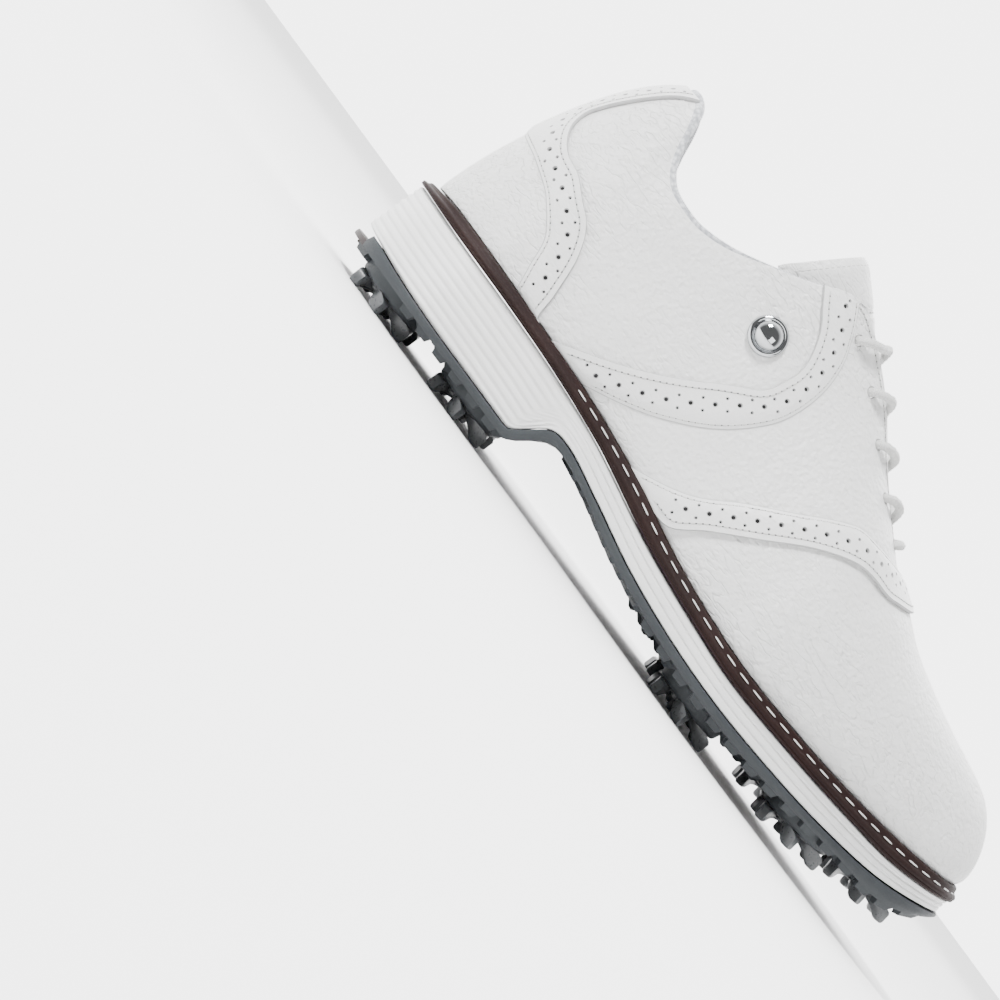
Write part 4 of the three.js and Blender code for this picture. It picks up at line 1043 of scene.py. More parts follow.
def build_bands():
    rear = chart_line(REAR_BAND_REAR, at_welt(73.5, 50, -3), [[rib_at(108.5), CHART_Q]])
    front = chart_line(REAR_BAND_FRONT, at_welt(90.5, 50, -3), [[rib_at(122.5), CHART_Q]])
    middle = hole_line(front, rear, 90)
    for name, flip in (("lateral", 1), ("medial", -1)):
        turned = [line * (flip, 1) for line in (rear, front, middle)]
        outline = np.vstack([turned[0], turned[1][::-1]])
        inner = inset_line(turned[0], -RAISED_INSET * flip)
        flush = inset_line(turned[1], FLUSH_INSET * flip)
        band_piece(f"rear_band_{name}", outline, perforations(turned[2]), f"rear_band_{name}",
                   [inner, flush], [turned[1]])

    rear = over_ridge(FRONT_BAND_REAR, at_welt(119, 42), FRONT_BAND_REAR_NOSE, 202.5)
    front = over_ridge(FRONT_BAND_FRONT, at_welt(132, 42), FRONT_BAND_FRONT_NOSE, 214.5)
    middle = hole_line(rear, front, 180)
    outline = np.vstack([rear, front[::-1]])
    band_piece("front_band", outline, perforations(middle), "front_band",
               [inset_line(rear, -FLUSH_INSET), inset_line(front, RAISED_INSET)], [rear])

    front = chart_line(HEEL_BAND_FRONT, at_welt(63, 50), [[rib_at(36.0, 0, 0.3, 2000), CHART_Q]])
    back_q = float(locate(6.0, 78.0)[1])
    rear = chart_line(HEEL_BAND_REAR, at_welt(50.5, 50), [[0.0, back_q]])
    outline = np.vstack([front, (front * (-1, 1))[::-1], rear * (-1, 1), rear[:-1][::-1]])
    holes = perforations(inset_line(front, HEEL_ROW_INSET))
    circles = holes + [(-a, b, r) for a, b, r in holes]
    raised = inset_line(front, RAISED_INSET)
    low = inset_line(rear, -FLUSH_INSET)
    rows = [raised, raised * (-1, 1), low, low * (-1, 1)]
    band_piece("heel_band", outline, circles, "heel_band", rows, [rear, rear * (-1, 1)])

# ---- Collar, linings, tongue, lace and badge ------------------------------------------------

LINING_OUT, LINING_IN = -2.8, -4.0
COLLAR_PAD = 4.2
COLLAR_END_X = 112.0


def collar_depth(p, q):
    """How far the cushioned collar stands in from the upper's face."""
    u, v = abs(p) / CHART_P, q / CHART_Q
    full = ease(0.3, 0.72, v) * (1 - 0.3 * ease(0.9, 1, v)) * (1 - ease(0.34, 0.40, u))
    return LINING_IN - COLLAR_PAD * full


def build_collar():
    """Knit lining: down the inside from a padded roll that stands just above the top line."""
    ends = rib_at(COLLAR_END_X)
    p = np.linspace(-ends, ends, 321)
    share = 1 - ease(0.8, 1.0, abs(p) / ends)
    rise = 1.1 + 1.5 * (1 - ease(0.45, 0.75, abs(p) / ends))
    profile = []
    for q in np.linspace(0, CHART_Q, 40):
        profile.append(chart_offset(p, np.full_like(p, q), collar_depth(p, q)))
    top = chart_point(p, np.full_like(p, CHART_Q))
    normal = chart_normal(p, np.full_like(p, CHART_Q))
    _, up = chart_slopes(p, np.full_like(p, CHART_Q))
    up = unit(up - normal * (up * normal).sum(-1, keepdims=True))
    deep = collar_depth(p, CHART_Q)
    lap = 0.5 - 0.9 * (1 - share)
    middle, half = (deep + lap) / 2, (lap - deep) / 2
    for angle in np.linspace(0, np.pi, 15)[1:]:
        across = middle - half * np.cos(angle)
        lift = rise * np.sin(angle)
        profile.append(top + normal * across[:, None] + up * lift[:, None])
    lip = profile[-1]
    for step in (0.35, 0.7):
        profile.append(lip - up * (step * 2.2) * share[:, None] - normal * (step * 0.9))
    for q in np.linspace(CHART_Q - 4, 0, 12):
        profile.append(chart_offset(p, np.full_like(p, q), LINING_OUT + 0.2))
    loop = np.stack(profile, 1)
    rows, columns = loop.shape[:2]
    points = loop.reshape(-1, 3)
    faces = [list(face) for face in grid_faces(rows, columns)]
    for i in range(rows - 1):
        a, b = i * columns, (i + 1) * columns
        faces.append([a + columns - 1, b + columns - 1, b, a])
    faces.append(list(range(columns))[::-1])
    faces.append(list(range((rows - 1) * columns, rows * columns)))
    collar = make("collar_knit", points, faces, KNIT, ["collar_lining"], slot="lining_fabric")


def build_vamp_lining():
    """Thin lining under the vamp and the facings."""
    sheets = []
    for side in (LATERAL, MEDIAL):
        rows = np.linspace(rib_at(COLLAR_END_X + 0.8), CHART_P, 110)
        columns = np.linspace(0, CHART_Q, 34)
        p, q = np.meshgrid(rows, columns, indexing="ij")
        p = p * -side
        outer = chart_offset(p, q, LINING_OUT).reshape(-1, 3)
        inner = chart_offset(p, q, LINING_IN).reshape(-1, 3)
        cells = grid_faces(*p.shape, flip=side == MEDIAL)
        middle = outer[cells].mean(1)
        x, z = middle[:, 0], middle[:, 2]
        facing = np.interp(x, (112, 135, 160, 185, 206, 212), (100, 100, 84, 72, 70, 140))
        sheets.append((outer, inner, cells[z < facing]))
    skin = welded_shell(sheets, 0.3)
    make("vamp_lining_cloth", *skin, INNER_LINING, ["vamp_lining"], slot="lining_fabric")


def build_sockliner():
    """Cushioned insole with a raised rim at the heel."""
    u = np.linspace(0, 1, 140)
    lateral, medial = rim(LATERAL, u, 10.7), rim(MEDIAL, u, 10.7)
    across = np.linspace(0, 1, 41)
    plan = lateral[:, None] + (medial - lateral)[:, None] * across[None, :, None]
    edge = 1 - np.abs(2 * across - 1) ** 8
    ends = 1 - np.abs(2 * u - 1) ** 60
    base = smooth(WELT_TOP, plan[..., 0]) + 0.35
    cup = 1.3 * (np.abs(2 * across - 1) ** 3)[None] * (1 - ease(90, 150, plan[..., 0]))
    swell = (edge[None] * ends[:, None]) ** 0.5
    top = base + (3.0 + cup) * (0.35 + 0.65 * swell)
    outer = np.concatenate([plan, top[..., None]], -1).reshape(-1, 3)
    inner = np.concatenate([plan, base[..., None]], -1).reshape(-1, 3)
    points, skin = shell(outer, inner, grid_faces(len(u), len(across), flip=False), 0.3)
    liner = make("sockliner_pad", points, skin, SOCK, ["sockliner"], slot="lining_fabric")


TONGUE_LINE = [
    (212, 77), (200, 82.8), (190, 88.8), (175, 98.6), (160, 108.4), (146, 118.6), (135.4, 127.4),
    (124.5, 134.8), (110.5, 142.9),
]
TONGUE_HALF_WIDTH = [(0, 10), (0.15, 14), (0.45, 17.5), (0.75, 16.5), (1, 17.5)]
TONGUE_DROP = [(0, 1.6), (0.2, 6.5), (0.5, 18), (0.75, 29), (1, 37)]
TONGUE_THICKNESS = 5.0
TONGUE_SWEEP = 1.4
TONGUE_SEAM = 0.86
SEAM_SCALE = 175.0
SEWN_ACROSS = 0.9


def tongue_point(s, across, depth):
    s, across, depth = np.broadcast_arrays(np.asarray(s, float), np.asarray(across, float), depth)
    line = catmull(TONGUE_LINE, 40)
    at = s * (len(line) - 1)
    index = np.arange(len(line))
    x, z = np.interp(at, index, line[:, 0]), np.interp(at, index, line[:, 1])
    slope = unit(np.gradient(line, axis=0))
    out_x, out_z = np.interp(at, index, slope[:, 1]), np.interp(at, index, -slope[:, 0])
    half, drop = smooth(TONGUE_HALF_WIDTH, s), smooth(TONGUE_DROP, s)
    angle = across * TONGUE_SWEEP
    inset = depth * (1 - 0.75 * abs(across) ** 4)
    fall = (drop - inset) * (1 - np.cos(angle)) + inset
    y = smooth(MIDDLE_Y, x) + (half - inset) * np.sin(angle)
    return np.stack([x - out_x * fall, y, z - out_z * fall], -1)


def build_tongue():
    """Padded tongue: crowned between its sewn edge and a seam across it, with a lining behind."""
    s = np.linspace(0, 1, 121)
    across = np.linspace(-1, 1, 73)
    grid_s, grid_a = np.meshgrid(s, across, indexing="ij")
    edge = np.minimum((1 - abs(grid_a)) * 26, (1 - grid_s) * SEAM_SCALE)
    seam = abs(grid_s - TONGUE_SEAM) * SEAM_SCALE
    puff = 0.55 * ease(0, 4.5, edge) * ease(0, 3.5, seam) + 0.35 * ease(0, 1.2, edge)
    outer = tongue_point(grid_s, grid_a, 0.75 - puff).reshape(-1, 3)
    back = 1 - 0.45 * (1 - ease(0, 6, edge))
    thick = TONGUE_THICKNESS * back * (1 - 0.4 * ease(0.94, 1, grid_s))
    inner = tongue_point(grid_s, grid_a, thick).reshape(-1, 3)
    faces = grid_faces(len(s), len(across), flip=True)
    points, skin = shell(outer, inner, faces, 0.9, 6)
    tongue = make("tongue_leather", points, skin, TONGUE_SKIN, ["tongue"], slot="leather_white")
    tongue.data.materials.append(KNIT)
    for face in list(tongue.data.polygons)[len(faces):2 * len(faces)]:
        face.material_index = 1

    sew_tongue()


def sew_tongue():
    """Stitches along the tongue's top, both sides and its cross seam."""
    width = np.linspace(-SEWN_ACROSS, SEWN_ACROSS, 81)
    length = np.linspace(0.3, 1 - 3.2 / SEAM_SCALE, 90)
    top = np.stack([np.full_like(width, 1 - 2.6 / SEAM_SCALE), width], -1)
    left = np.stack([length, np.full_like(length, SEWN_ACROSS)], -1)
    seam_line = np.stack([np.full_like(width, TONGUE_SEAM), width], -1)
    rows, painted_needle_marks = [], []
    for line in (top, left, left * (1, -1), seam_line):
        curve = tongue_point(line[:, 0], line[:, 1], 0.2)
        spots = resample(curve, step=STITCH_PITCH)
        ahead = np.gradient(spots, axis=0)
        shares = np.linspace(0, 1, len(spots))
        at_s = np.interp(shares, np.linspace(0, 1, len(line)), line[:, 0])
        at_a = np.interp(shares, np.linspace(0, 1, len(line)), line[:, 1])
        normal = tongue_point(at_s, at_a, -1.0) - tongue_point(at_s, at_a, 0.0)
        rows.append(stitches(spots, ahead, normal, STITCH_LENGTH, STITCH_RADIUS))
        # Dark capsules sunk between the stitches: painted shade standing in for the needle holes.
        between = (spots[1:] + spots[:-1]) / 2 - unit(normal[1:]) * 0.12
        painted_needle_marks.append(stitches(between, ahead[1:], normal[1:], NEEDLE_SHADE_LENGTH, STITCH_RADIUS))
    make("tongue_stitches", *joined(rows), THREAD_WITH_PAINTED_SHADE, slot="leather_white")
    make("tongue_needle_hole_painted_shade", *joined(painted_needle_marks), NEEDLE_SHADE, slot="leather_white")


LACE_RADIUS = 1.5
LACE_OVER, LACE_UNDER = 5.6, 2.1
LACE_INSIDE = -LEATHER - LACE_RADIUS - 0.8
PLAIT_PITCH, PLAIT_DEPTH = 5.2, 0.2


def side_place(side, p, q, distance):
    return chart_offset(np.array(-side * p), np.array(q), distance)


def lace_points():
    """The lace's route, the same as the CAD's: zigzag from each top eyelet to the straight bar."""

    def strand(side, row, clearance):
        (p, q), (far_p, far_q) = EYELETS[row], EYELETS[row + 1]
        u, far_u = p / CHART_P, far_p / CHART_P
        over = LACE_RADIUS + 0.5
        middle_x = (EYELET_X[row] + EYELET_X[row + 1]) / 2 + 1.5
        height = smooth(TONGUE_LINE[::-1], middle_x) + clearance
        return [
            side_place(side, p, q, LACE_INSIDE),
            side_place(side, p, q, 0.6),
            side_place(side, (u + 0.004) * CHART_P, q + 2.5, over + 0.7),
            side_place(side, (u + 0.012) * CHART_P, 98.5, over + 0.9),
            np.array([middle_x, smooth(MIDDLE_Y, middle_x), height]),
            side_place(-side, (far_u - 0.008) * CHART_P, 99.0, LACE_INSIDE - 0.2),
            side_place(-side, (far_u - 0.003) * CHART_P, far_q + 3, LACE_INSIDE - 0.2),
        ]

    def half(start):
        p, q = EYELETS[0]
        route = [
            side_place(start, p + 13.5, q - 9, LACE_INSIDE),
            side_place(start, p + 5.4, q - 5, LACE_INSIDE),
        ]
        for row in range(len(EYELETS) - 1):
            side = start if row % 2 == 0 else -start
            route += strand(side, row, LACE_OVER if start == LATERAL else LACE_UNDER)
        return route

    def bar(side):
        p, q = EYELETS[-1]
        return [
            side_place(side, p, q, LACE_INSIDE),
            side_place(side, p, q, 0.6),
            side_place(side, p + 0.9, q + 5, LACE_RADIUS + 0.6),
        ]

    return np.array(half(LATERAL) + bar(LATERAL) + bar(MEDIAL)[::-1] + half(MEDIAL)[::-1])


def centripetal(points, count):
    """Centripetal Catmull-Rom curve through points."""
    ends = np.vstack([2 * points[0] - points[1], points, 2 * points[-1] - points[-2]])
    spans = []
    for a, b, c, d in zip(ends, ends[1:], ends[2:], ends[3:]):
        gaps = [max(np.linalg.norm(j - i) ** 0.5, 1e-4) for i, j in ((a, b), (b, c), (c, d))]
        first = (b - a) / gaps[0] - (c - a) / (gaps[0] + gaps[1]) + (c - b) / gaps[1]
        second = (c - b) / gaps[1] - (d - b) / (gaps[1] + gaps[2]) + (d - c) / gaps[2]
        first, second = first * gaps[1], second * gaps[1]
        t = np.linspace(0, 1, count, endpoint=False)[:, None]
        spans.append(
            (2 * t**3 - 3 * t**2 + 1) * b + (t**3 - 2 * t**2 + t) * first
            + (3 * t**2 - 2 * t**3) * c + (t**3 - t**2) * second
        )
    return np.vstack([*spans, points[-1:]])


def build_lace():
    """Round braided lace: plaited yarns show as a low diamond relief."""
    path = resample(centripetal(lace_points(), 30), step=0.42)

    def plait(length, angle):
        turn = 2 * np.pi * length / PLAIT_PITCH
        return PLAIT_DEPTH * np.cos(3 * angle + turn) * np.cos(3 * angle - turn)

    make("lace_braid", *tube(path, LACE_RADIUS, 20, plait), LACE_BRAID, ["lace"], slot="lace_fabric")


def build_facing_stitches():
    """Stitches beside the edge of the lace facings and round their tops."""
    rows = []
    for flip in (1, -1):
        p = np.linspace(rib_at(111.5), rib_at(199), 60)
        rows.append(np.array([(a * flip, below_edge(a, 2.0)) for a in p]))
    sew("facing_stitches", rows, lambda *_: 0.05, "leather_white")


BADGE_X, BADGE_Z, BADGE_RADIUS = 111.0, 98.4, 7.0


def build_badge():
    """Plain chrome stud: a rounded flange with a groove and a polished dome."""
    p, q = locate(BADGE_X, BADGE_Z)
    normal = chart_normal(p, q)
    spin = np.array(Vector((0, 0, 1)).rotation_difference(Vector(normal)).to_matrix())
    seat = chart_point(p, q)
    r = BADGE_RADIUS
    flange = [(0, 0.1), (r - 0.2, 0.1), (r, 0.5), (r, 1.1), (r - 0.25, 1.6), (r - 0.8, 1.95),
              (r - 1.4, 2.0), (r - 1.7, 1.7), (r - 2.0, 1.55), (0, 1.55)]
    arc = [(4.9 * math.cos(a), 2.1 + 2.7 * math.sin(a)) for a in np.linspace(-0.2, 1.52, 14)]
    dome = [(0, 1.5), *arc, (0, 4.8)]
    pieces = (("badge_flange", flange, "badge_plate"), ("badge_dome_polished", dome, "badge_dome"))
    for name, profile, node in pieces:
        points, faces = lathe(profile, 64)
        make(name, points @ spin.T + seat, faces, CHROME, [node], slot="chrome")

# ---- Sole -----------------------------------------------------------------------------------

FOREFOOT_INSERT = [
    (152.7, 24.2), (159, 33), (164, 48), (190, 62), (262, 56), (264, 44), (264, 33.5), (260, 23),
    (252, 14.5), (239, 8.9), (220, 8), (201, 10.5), (181, 16), (166, 21),
]
HEEL_INSERT = [
    (-3, 24), (7.7, 23), (11.2, 17.4), (13, 12.5), (17, 7), (19.4, -1), (16.8, -9.5), (13.2, -15.5),
    (10.8, -21), (7.5, -26.5), (-3, -27),
]
WAIST_CENTRE, WAIST_HALF, WAIST_TURN = (122.7, -6.0), (20.5, 7.0), -0.06
SPIKE_DROP = 9.8
BOSS_OUTER, BOSS_INNER, BOSS_DROP = 14.0, 11.8, 4.0
# Name, x, y, whether it stands on the ground, whether it is on the brown insert, how deep it sits.
SPIKES = [
    ("heel_rear_medial", 27, 19.7, True, False, 0),
    ("heel_rear_lateral", 27, -22.2, True, False, 0),
    ("heel_front_medial", 71, 21.2, True, False, 0),
    ("heel_front_lateral", 70, -24.5, True, False, 0),
    ("ball_rear_medial", 193.2, 37.2, True, True, 0),
    ("ball_rear_lateral", 192.7, -31, True, False, 0),
    ("ball_front_medial", 241.3, 38.5, False, True, 0),
    ("ball_front_lateral", 245.7, -24.5, False, False, 0),
    ("toe", 279.7, 11.5, False, False, 2.4),
]


def spike_place(x, y, stands, sunk):
    """Turn and place of a spike: upright where it stands on the ground, else square to the sole."""
    if stands:
        return np.eye(3), np.array([x, y, SPIKE_DROP])
    climb = math.atan2(float(sole_underside(x + 4, y) - sole_underside(x - 4, y)), 8)
    cos, sin = math.cos(climb), math.sin(climb)
    turn = np.array([[cos, 0, -sin], [0, 1, 0], [sin, 0, cos]])
    return turn, np.array([x, y, float(sole_underside(x, y)) + sunk])


PERIMETER_STEPS = 520


def perimeter(count, inset=0.0):
    """Sole outline as one loop from the heel along the lateral side and back, with its turn values."""
    u = np.linspace(0, 1, count // 2 + 1)
    turn = np.concatenate([u, u[::-1][1:-1]])
    side = np.concatenate([np.full(len(u), LATERAL), np.full(len(u) - 2, MEDIAL)])
    return rim(side, turn, inset), turn, side


def wall_rings(level_at, levels):
    """Rings of a sole wall: level_at gives a level's heights and inset from the x of its places."""
    plan, turn, side = perimeter(PERIMETER_STEPS)
    rings = []
    for level in levels:
        height, inset = level_at(plan[:, 0], level)
        rings.append(at_height(rim(side, turn, inset), height))
    return rings


CAP_COLUMNS = 24


def capped_rings(rings):
    """Solid with a wall of rings and a ruled cap across its first and last ring."""
    count = len(rings[0])
    half = count // 2
    points = [np.vstack(rings)]
    faces = ring_faces(rings)
    start = len(points[0])
    ends = ((rings[0], 0, False), (rings[-1], (len(rings) - 1) * count, True))
    for ring, base, flip in ends:
        ids = np.zeros((half + 1, CAP_COLUMNS + 1), int)
        for i in range(half + 1):
            lateral, medial = i, (count - i) % count
            ids[i, 0], ids[i, -1] = base + lateral, base + medial
            if lateral == medial:
                ids[i, :] = base + lateral
                continue
            share = np.linspace(0, 1, CAP_COLUMNS + 1)[1:-1, None]
            points.append(ring[lateral] + (ring[medial] - ring[lateral]) * share)
            ids[i, 1:-1] = np.arange(start, start + CAP_COLUMNS - 1)
            start += CAP_COLUMNS - 1
        quads = np.stack([ids[:-1, :-1], ids[1:, :-1], ids[1:, 1:], ids[:-1, 1:]], -1).reshape(-1, 4)
        faces += tidy_faces(quads if not flip else quads[:, ::-1])
    return np.vstack(points), faces


MIDSOLE_INSET = 1.1
HEEL_RIB_PITCH, HEEL_RIB_DEPTH = 2.8, 0.55


def midsole_groove(z_share, x):
    """Depth of the moulded ribs: many at the heel, two thin grooves along the forefoot."""
    span = smooth(MIDSOLE_TOP, x) - smooth(OUTSOLE_TOP, x)
    below_top = (1 - z_share) * span
    heel = 1 - ease(84, 118, x)
    wave = 0.5 - 0.5 * np.cos(2 * np.pi * below_top / HEEL_RIB_PITCH)
    inside_ribs = ease(0.8, 2.2, below_top) * ease(0.4, 1.8, span - below_top)
    ribs = HEEL_RIB_DEPTH * wave**2 * inside_ribs * heel
    grooves = 0
    for share in (0.36, 0.68):
        grooves = grooves + 0.6 * np.exp(-(((z_share - share) * span) / 0.34) ** 2)
    return ribs + grooves * (1 - heel)


def build_midsole():
    """White block between outsole and welt, with lipped edges, a slight flare and its ribs."""

    def level_at(x, share):
        low = smooth(OUTSOLE_TOP, x) + 0.3
        lip = 1.1 * (1 - min(share / 0.05, 1, (1 - share) / 0.06) ** 0.5)
        flare = 0.5 * (1 - share)
        inset = MIDSOLE_INSET + 0.25 + lip - flare + midsole_groove(share, x)
        return low + (smooth(MIDSOLE_TOP, x) - low) * share, inset

    points, faces = capped_rings(wall_rings(level_at, np.linspace(0, 1, 64)))
    make("midsole_foam", points, faces, FOAM, ["midsole"], slot="midsole_white")


WELT_STITCH_PITCH, WELT_STITCH_LENGTH = 7.0, 4.7
WELT_STITCHES_FROM = 84.0
WELT_STITCH_INSET, WELT_STITCH_SHARE = 2.15, 0.76


def build_welt():
    """Storm welt: rounded edge, a stitch channel on top and a raised inner bead against the upper."""
    profile = [
        (9.2, 0.0), (1.0, 0.0), (0.5, 0.04), (0.32, 0.12), (0.3, 0.2), (0.5, 0.25), (0.3, 0.3),
        (0.3, 0.42), (0.42, 0.48), (0.85, 0.56), (1.25, 0.62), (1.5, 0.6), (1.75, 0.62), (2.05, 0.7),
        (2.3, 0.8), (2.45, 0.9), (2.7, 1.0), (3.2, 1.08), (3.8, 1.1), (4.4, 1.06), (5.0, 0.98),
        (9.2, 0.96),
    ]

    def height(x, share):
        low = smooth(MIDSOLE_TOP, x) + 0.3
        return low + (smooth(WELT_TOP, x) - low) * share

    rings = wall_rings(lambda x, level: (height(x, level[1]), level[0]), profile)
    points, faces = closed_rings(rings)
    make("welt_storm", points, faces, WELT_LEATHER, ["welt"], slot="welt_brown")

    plan, _, _ = perimeter(PERIMETER_STEPS, WELT_STITCH_INSET)
    loop = at_height(plan, height(plan[:, 0], WELT_STITCH_SHARE))
    spots = resample(np.vstack([loop, loop[:1]]), step=WELT_STITCH_PITCH)[:-1]
    ahead = np.roll(spots, -1, axis=0) - np.roll(spots, 1, axis=0)
    up = np.tile([0.0, 0.0, 1.0], (len(spots), 1))
    outward = unit(np.cross(ahead, up))
    outward *= np.sign((outward[:, :2] * (spots[:, :2] - (LENGTH / 2, 0))).sum(1))[:, None]
    sewn = spots[:, 0] > WELT_STITCHES_FROM
    points, faces = stitches((spots + 0.18 * outward)[sewn], ahead[sewn], (up + 0.9 * outward)[sewn],
                             WELT_STITCH_LENGTH, 0.3)
    make("welt_stitches", points, faces, THREAD_WITH_PAINTED_SHADE, slot="welt_brown")


def waist_loop(grow=0.0):
    """Outline of the waist plate: a rectangle with rounded corners, turned a little."""
    angle = np.arange(48) * 2 * np.pi / 48
    square = lambda value: np.sign(value) * abs(value) ** 0.22
    x = (WAIST_HALF[0] + grow) * square(np.cos(angle))
    y = (WAIST_HALF[1] + grow) * square(np.sin(angle))
    c, s = math.cos(WAIST_TURN), math.sin(WAIST_TURN)
    return np.stack([WAIST_CENTRE[0] + x * c - y * s, WAIST_CENTRE[1] + x * s + y * c], -1)


def plate(outline, holes, spacing, bottom, top, bulge=0.3, within=None):
    """Closed plate over a plan outline; bottom and top are functions of x and y."""
    flat, faces = flat_mesh(outline, holes, spacing, within)
    a, b, c = flat[faces[0]]
    if (b[0] - a[0]) * (c[1] - a[1]) - (b[1] - a[1]) * (c[0] - a[0]) > 0:
        faces = faces[:, ::-1]
    x, y = flat[:, 0], flat[:, 1]
    low = np.stack([x, y, bottom(x, y)], -1)
    high = np.stack([x, y, top(x, y)], -1)
    return shell(low, high, faces, bulge, 3)


def edge_loop(inset=0.0):
    return perimeter(360, inset)[0]

ROUND_STEPS = 6


def rounded(points):
    """Closed smooth loop through corner points."""
    ring = np.array(points, float)
    long = catmull(np.vstack([ring[-2:], ring, ring[:3]]), ROUND_STEPS)
    return long[2 * ROUND_STEPS:(2 + len(ring)) * ROUND_STEPS]


WELL_RADIUS = 10.35
EDGE_INSET = 0.4
WAIST_GAP = 0.3


def build_outsole_plates():
    forefoot, heel = rounded(FOREFOOT_INSERT), rounded(HEEL_INSERT)
    wells = {name: circle(WELL_RADIUS, 36, x, y) for name, x, y, *_ in SPIKES}
    on_insert = [name for name, *_, on, _ in SPIKES if on]
    edge = edge_loop()
    spike_wells = [wells[name] for name, *_ in SPIKES if name not in on_insert]
    top = lambda x, y: np.maximum(smooth(OUTSOLE_TOP, x), sole_underside(x, y) + 1.2)
    cuts = [forefoot, heel, waist_loop(WAIST_GAP), *spike_wells]
    parts = [plate(edge, cuts, 5.0, sole_underside, top, 0.45)]
    parts += [boss_form(*spike[1:]) for spike in SPIKES if not spike[4]]
    make("outsole_rubber", *joined(parts), RUBBER, ["outsole"], slot="outsole_rubber")

    thick = lambda x, y: sole_underside(x, y) + 1.9
    low = lambda x, y: sole_underside(x, y) - 0.1
    cuts = [wells[name] for name in on_insert]
    parts = [plate(edge_loop(EDGE_INSET), cuts, 5.0, low, thick, 0.2, forefoot)]
    parts += [boss_form(*spike[1:]) for spike in SPIKES if spike[4]]
    make("forefoot_insert_tpu", *joined(parts), INSERT, ["forefoot_insert"], slot="insert_brown")
    points, faces = plate(edge_loop(EDGE_INSET), [], 4.0, low, thick, 0.2, heel)
    make("heel_insert_tpu", points, faces, INSERT, ["heel_insert"], slot="insert_brown")

    recess = lambda x, y: sole_underside(x, y) + 0.45
    roof = lambda x, y: sole_underside(x, y) + 1.6
    points, faces = plate(waist_loop(), [], 3.0, recess, roof, 0.2)
    border = []
    for grow, rise in ((-0.4, -0.05), (-1.7, -0.05), (-1.9, 0.65), (-0.3, 0.65)):
        loop = waist_loop(grow)
        border.append(at_height(loop, sole_underside(*loop.T) + rise))
    form = joined([(points, faces), closed_rings(border)])
    make("waist_plate_tpu", *form, INSERT, ["waist_plate"], slot="insert_brown")


def boss_form(x, y, stands, _, sunk):
    """Collar moulded round a spike."""
    turn, place = spike_place(x, y, stands, sunk)
    profile = [
        (BOSS_INNER, 1.2), (BOSS_INNER, -3.5), (BOSS_INNER + 0.4, -BOSS_DROP),
        (BOSS_OUTER - 0.9, -BOSS_DROP), (BOSS_OUTER - 0.3, 0.5 - BOSS_DROP),
        (BOSS_OUTER, 1.2 - BOSS_DROP), (BOSS_OUTER + 0.7, 1.2),
    ]
    rings = [at_height(circle(r, 64) * (1, -1), z) for r, z in profile]
    return closed_rings([ring @ turn.T + place for ring in rings])


def lug(corners, height, shrink, lean=(0, 0)):
    """Low block on the underside: its foot follows the sole and its flat top is smaller."""
    corners = np.array(corners, float)
    area = np.cross(corners[1] - corners[0], corners[2] - corners[0])
    corners = corners if area < 0 else corners[::-1]
    middle = corners.mean(0)
    foot_z = sole_underside(*corners.T)
    head = middle + (corners - middle) * shrink + lean
    head_z = sole_underside(*head.T) - height
    edge = corners + (head - corners) * 0.1
    edge_z = foot_z + (head_z - foot_z) * 0.05
    rings = [at_height(corners, foot_z + 0.5), at_height(edge, edge_z), at_height(head, head_z)]
    return capped(rings)


def triangle(x, y, size, turn):
    return circle(size, 3, x, y, math.radians(turn))


def bar(x0, y0, x1, y1, width):
    ends = np.array([[x0, y0], [x1, y1]], float)
    along = unit(ends[1] - ends[0])
    across = np.array([-along[1], along[0]]) * width / 2
    return np.array([ends[0] + across, ends[1] + across, ends[1] - across, ends[0] - across])


# Triangular lugs: x, y, size, turn.
FOREFOOT_LUGS = [
    (162.7, -10.2, 5.2, 40), (172.7, -20.2, 5, 200), (164.3, -31.8, 5, 20), (176, -43.5, 4.8, 80),
    (207.7, -45.2, 4.6, 10), (216, -26.8, 5.5, 130), (226, -20.2, 5.2, 300), (214, -14.5, 4.8, 30),
    (222.7, -40.2, 4.8, 60), (262, -30, 4.6, 100), (261, 1.5, 5.2, 45), (281, -6.8, 5.2, 110),
    (248, 6, 5, 20), (253, -8, 5.2, 190), (238, -4, 5, 70), (266, 18, 4.6, 250),
    (156, -22, 4.8, 70), (158, 4, 5.2, 160),
]
INSERT_LUGS = [
    (174.3, 41.5, 4.8, 20), (209.3, 48.2, 4.6, 90), (226, 49.8, 4.8, 200), (216, 34.8, 4.8, 140),
    (226, 24.8, 5, 40), (199.3, 18.2, 4.6, 280), (216, 18.2, 4.8, 100), (231, 13.2, 4.4, 210),
    (241, 14.8, 4.2, 330), (256, 23.2, 4.6, 60), (259.3, 38.2, 4.4, 10), (177.7, 23.2, 4.8, 230),
]
HEEL_LUGS = [
    (49.3, -8.5, 5.4, 20), (51, -20.5, 5, 140), (72.7, 1.2, 5, 80), (82.3, -5.5, 4.6, 210),
    (59.3, 4.8, 5.4, 300), (43, -37.5, 4.4, 70), (82.7, -38.5, 4.4, 250), (49.3, 18.2, 5, 190),
    (54.3, 33.2, 4.4, 90), (84.3, 31.5, 4, 30), (40, 3, 4.8, 40), (57, -37, 4.4, 10),
    (30, -1, 4.6, 160), (44, 29, 4.4, 320),
]
# Sets of three ridges at the toe: the ends of a line just outside them, x and y of each.
RIDGE_SETS = [
    (274.3, 41.5, 291, 29.8), (294.3, 23.2, 297.7, 3.2),
    (296, -5.2, 286, -15.2), (287.7, -16.8, 271, -30.2),
]


MAZE_CENTRE = np.array([-3, -1.8])


def near_spike(x, y, reach):
    return any(math.hypot(x - spike[1], y - spike[2]) < reach for spike in SPIKES)


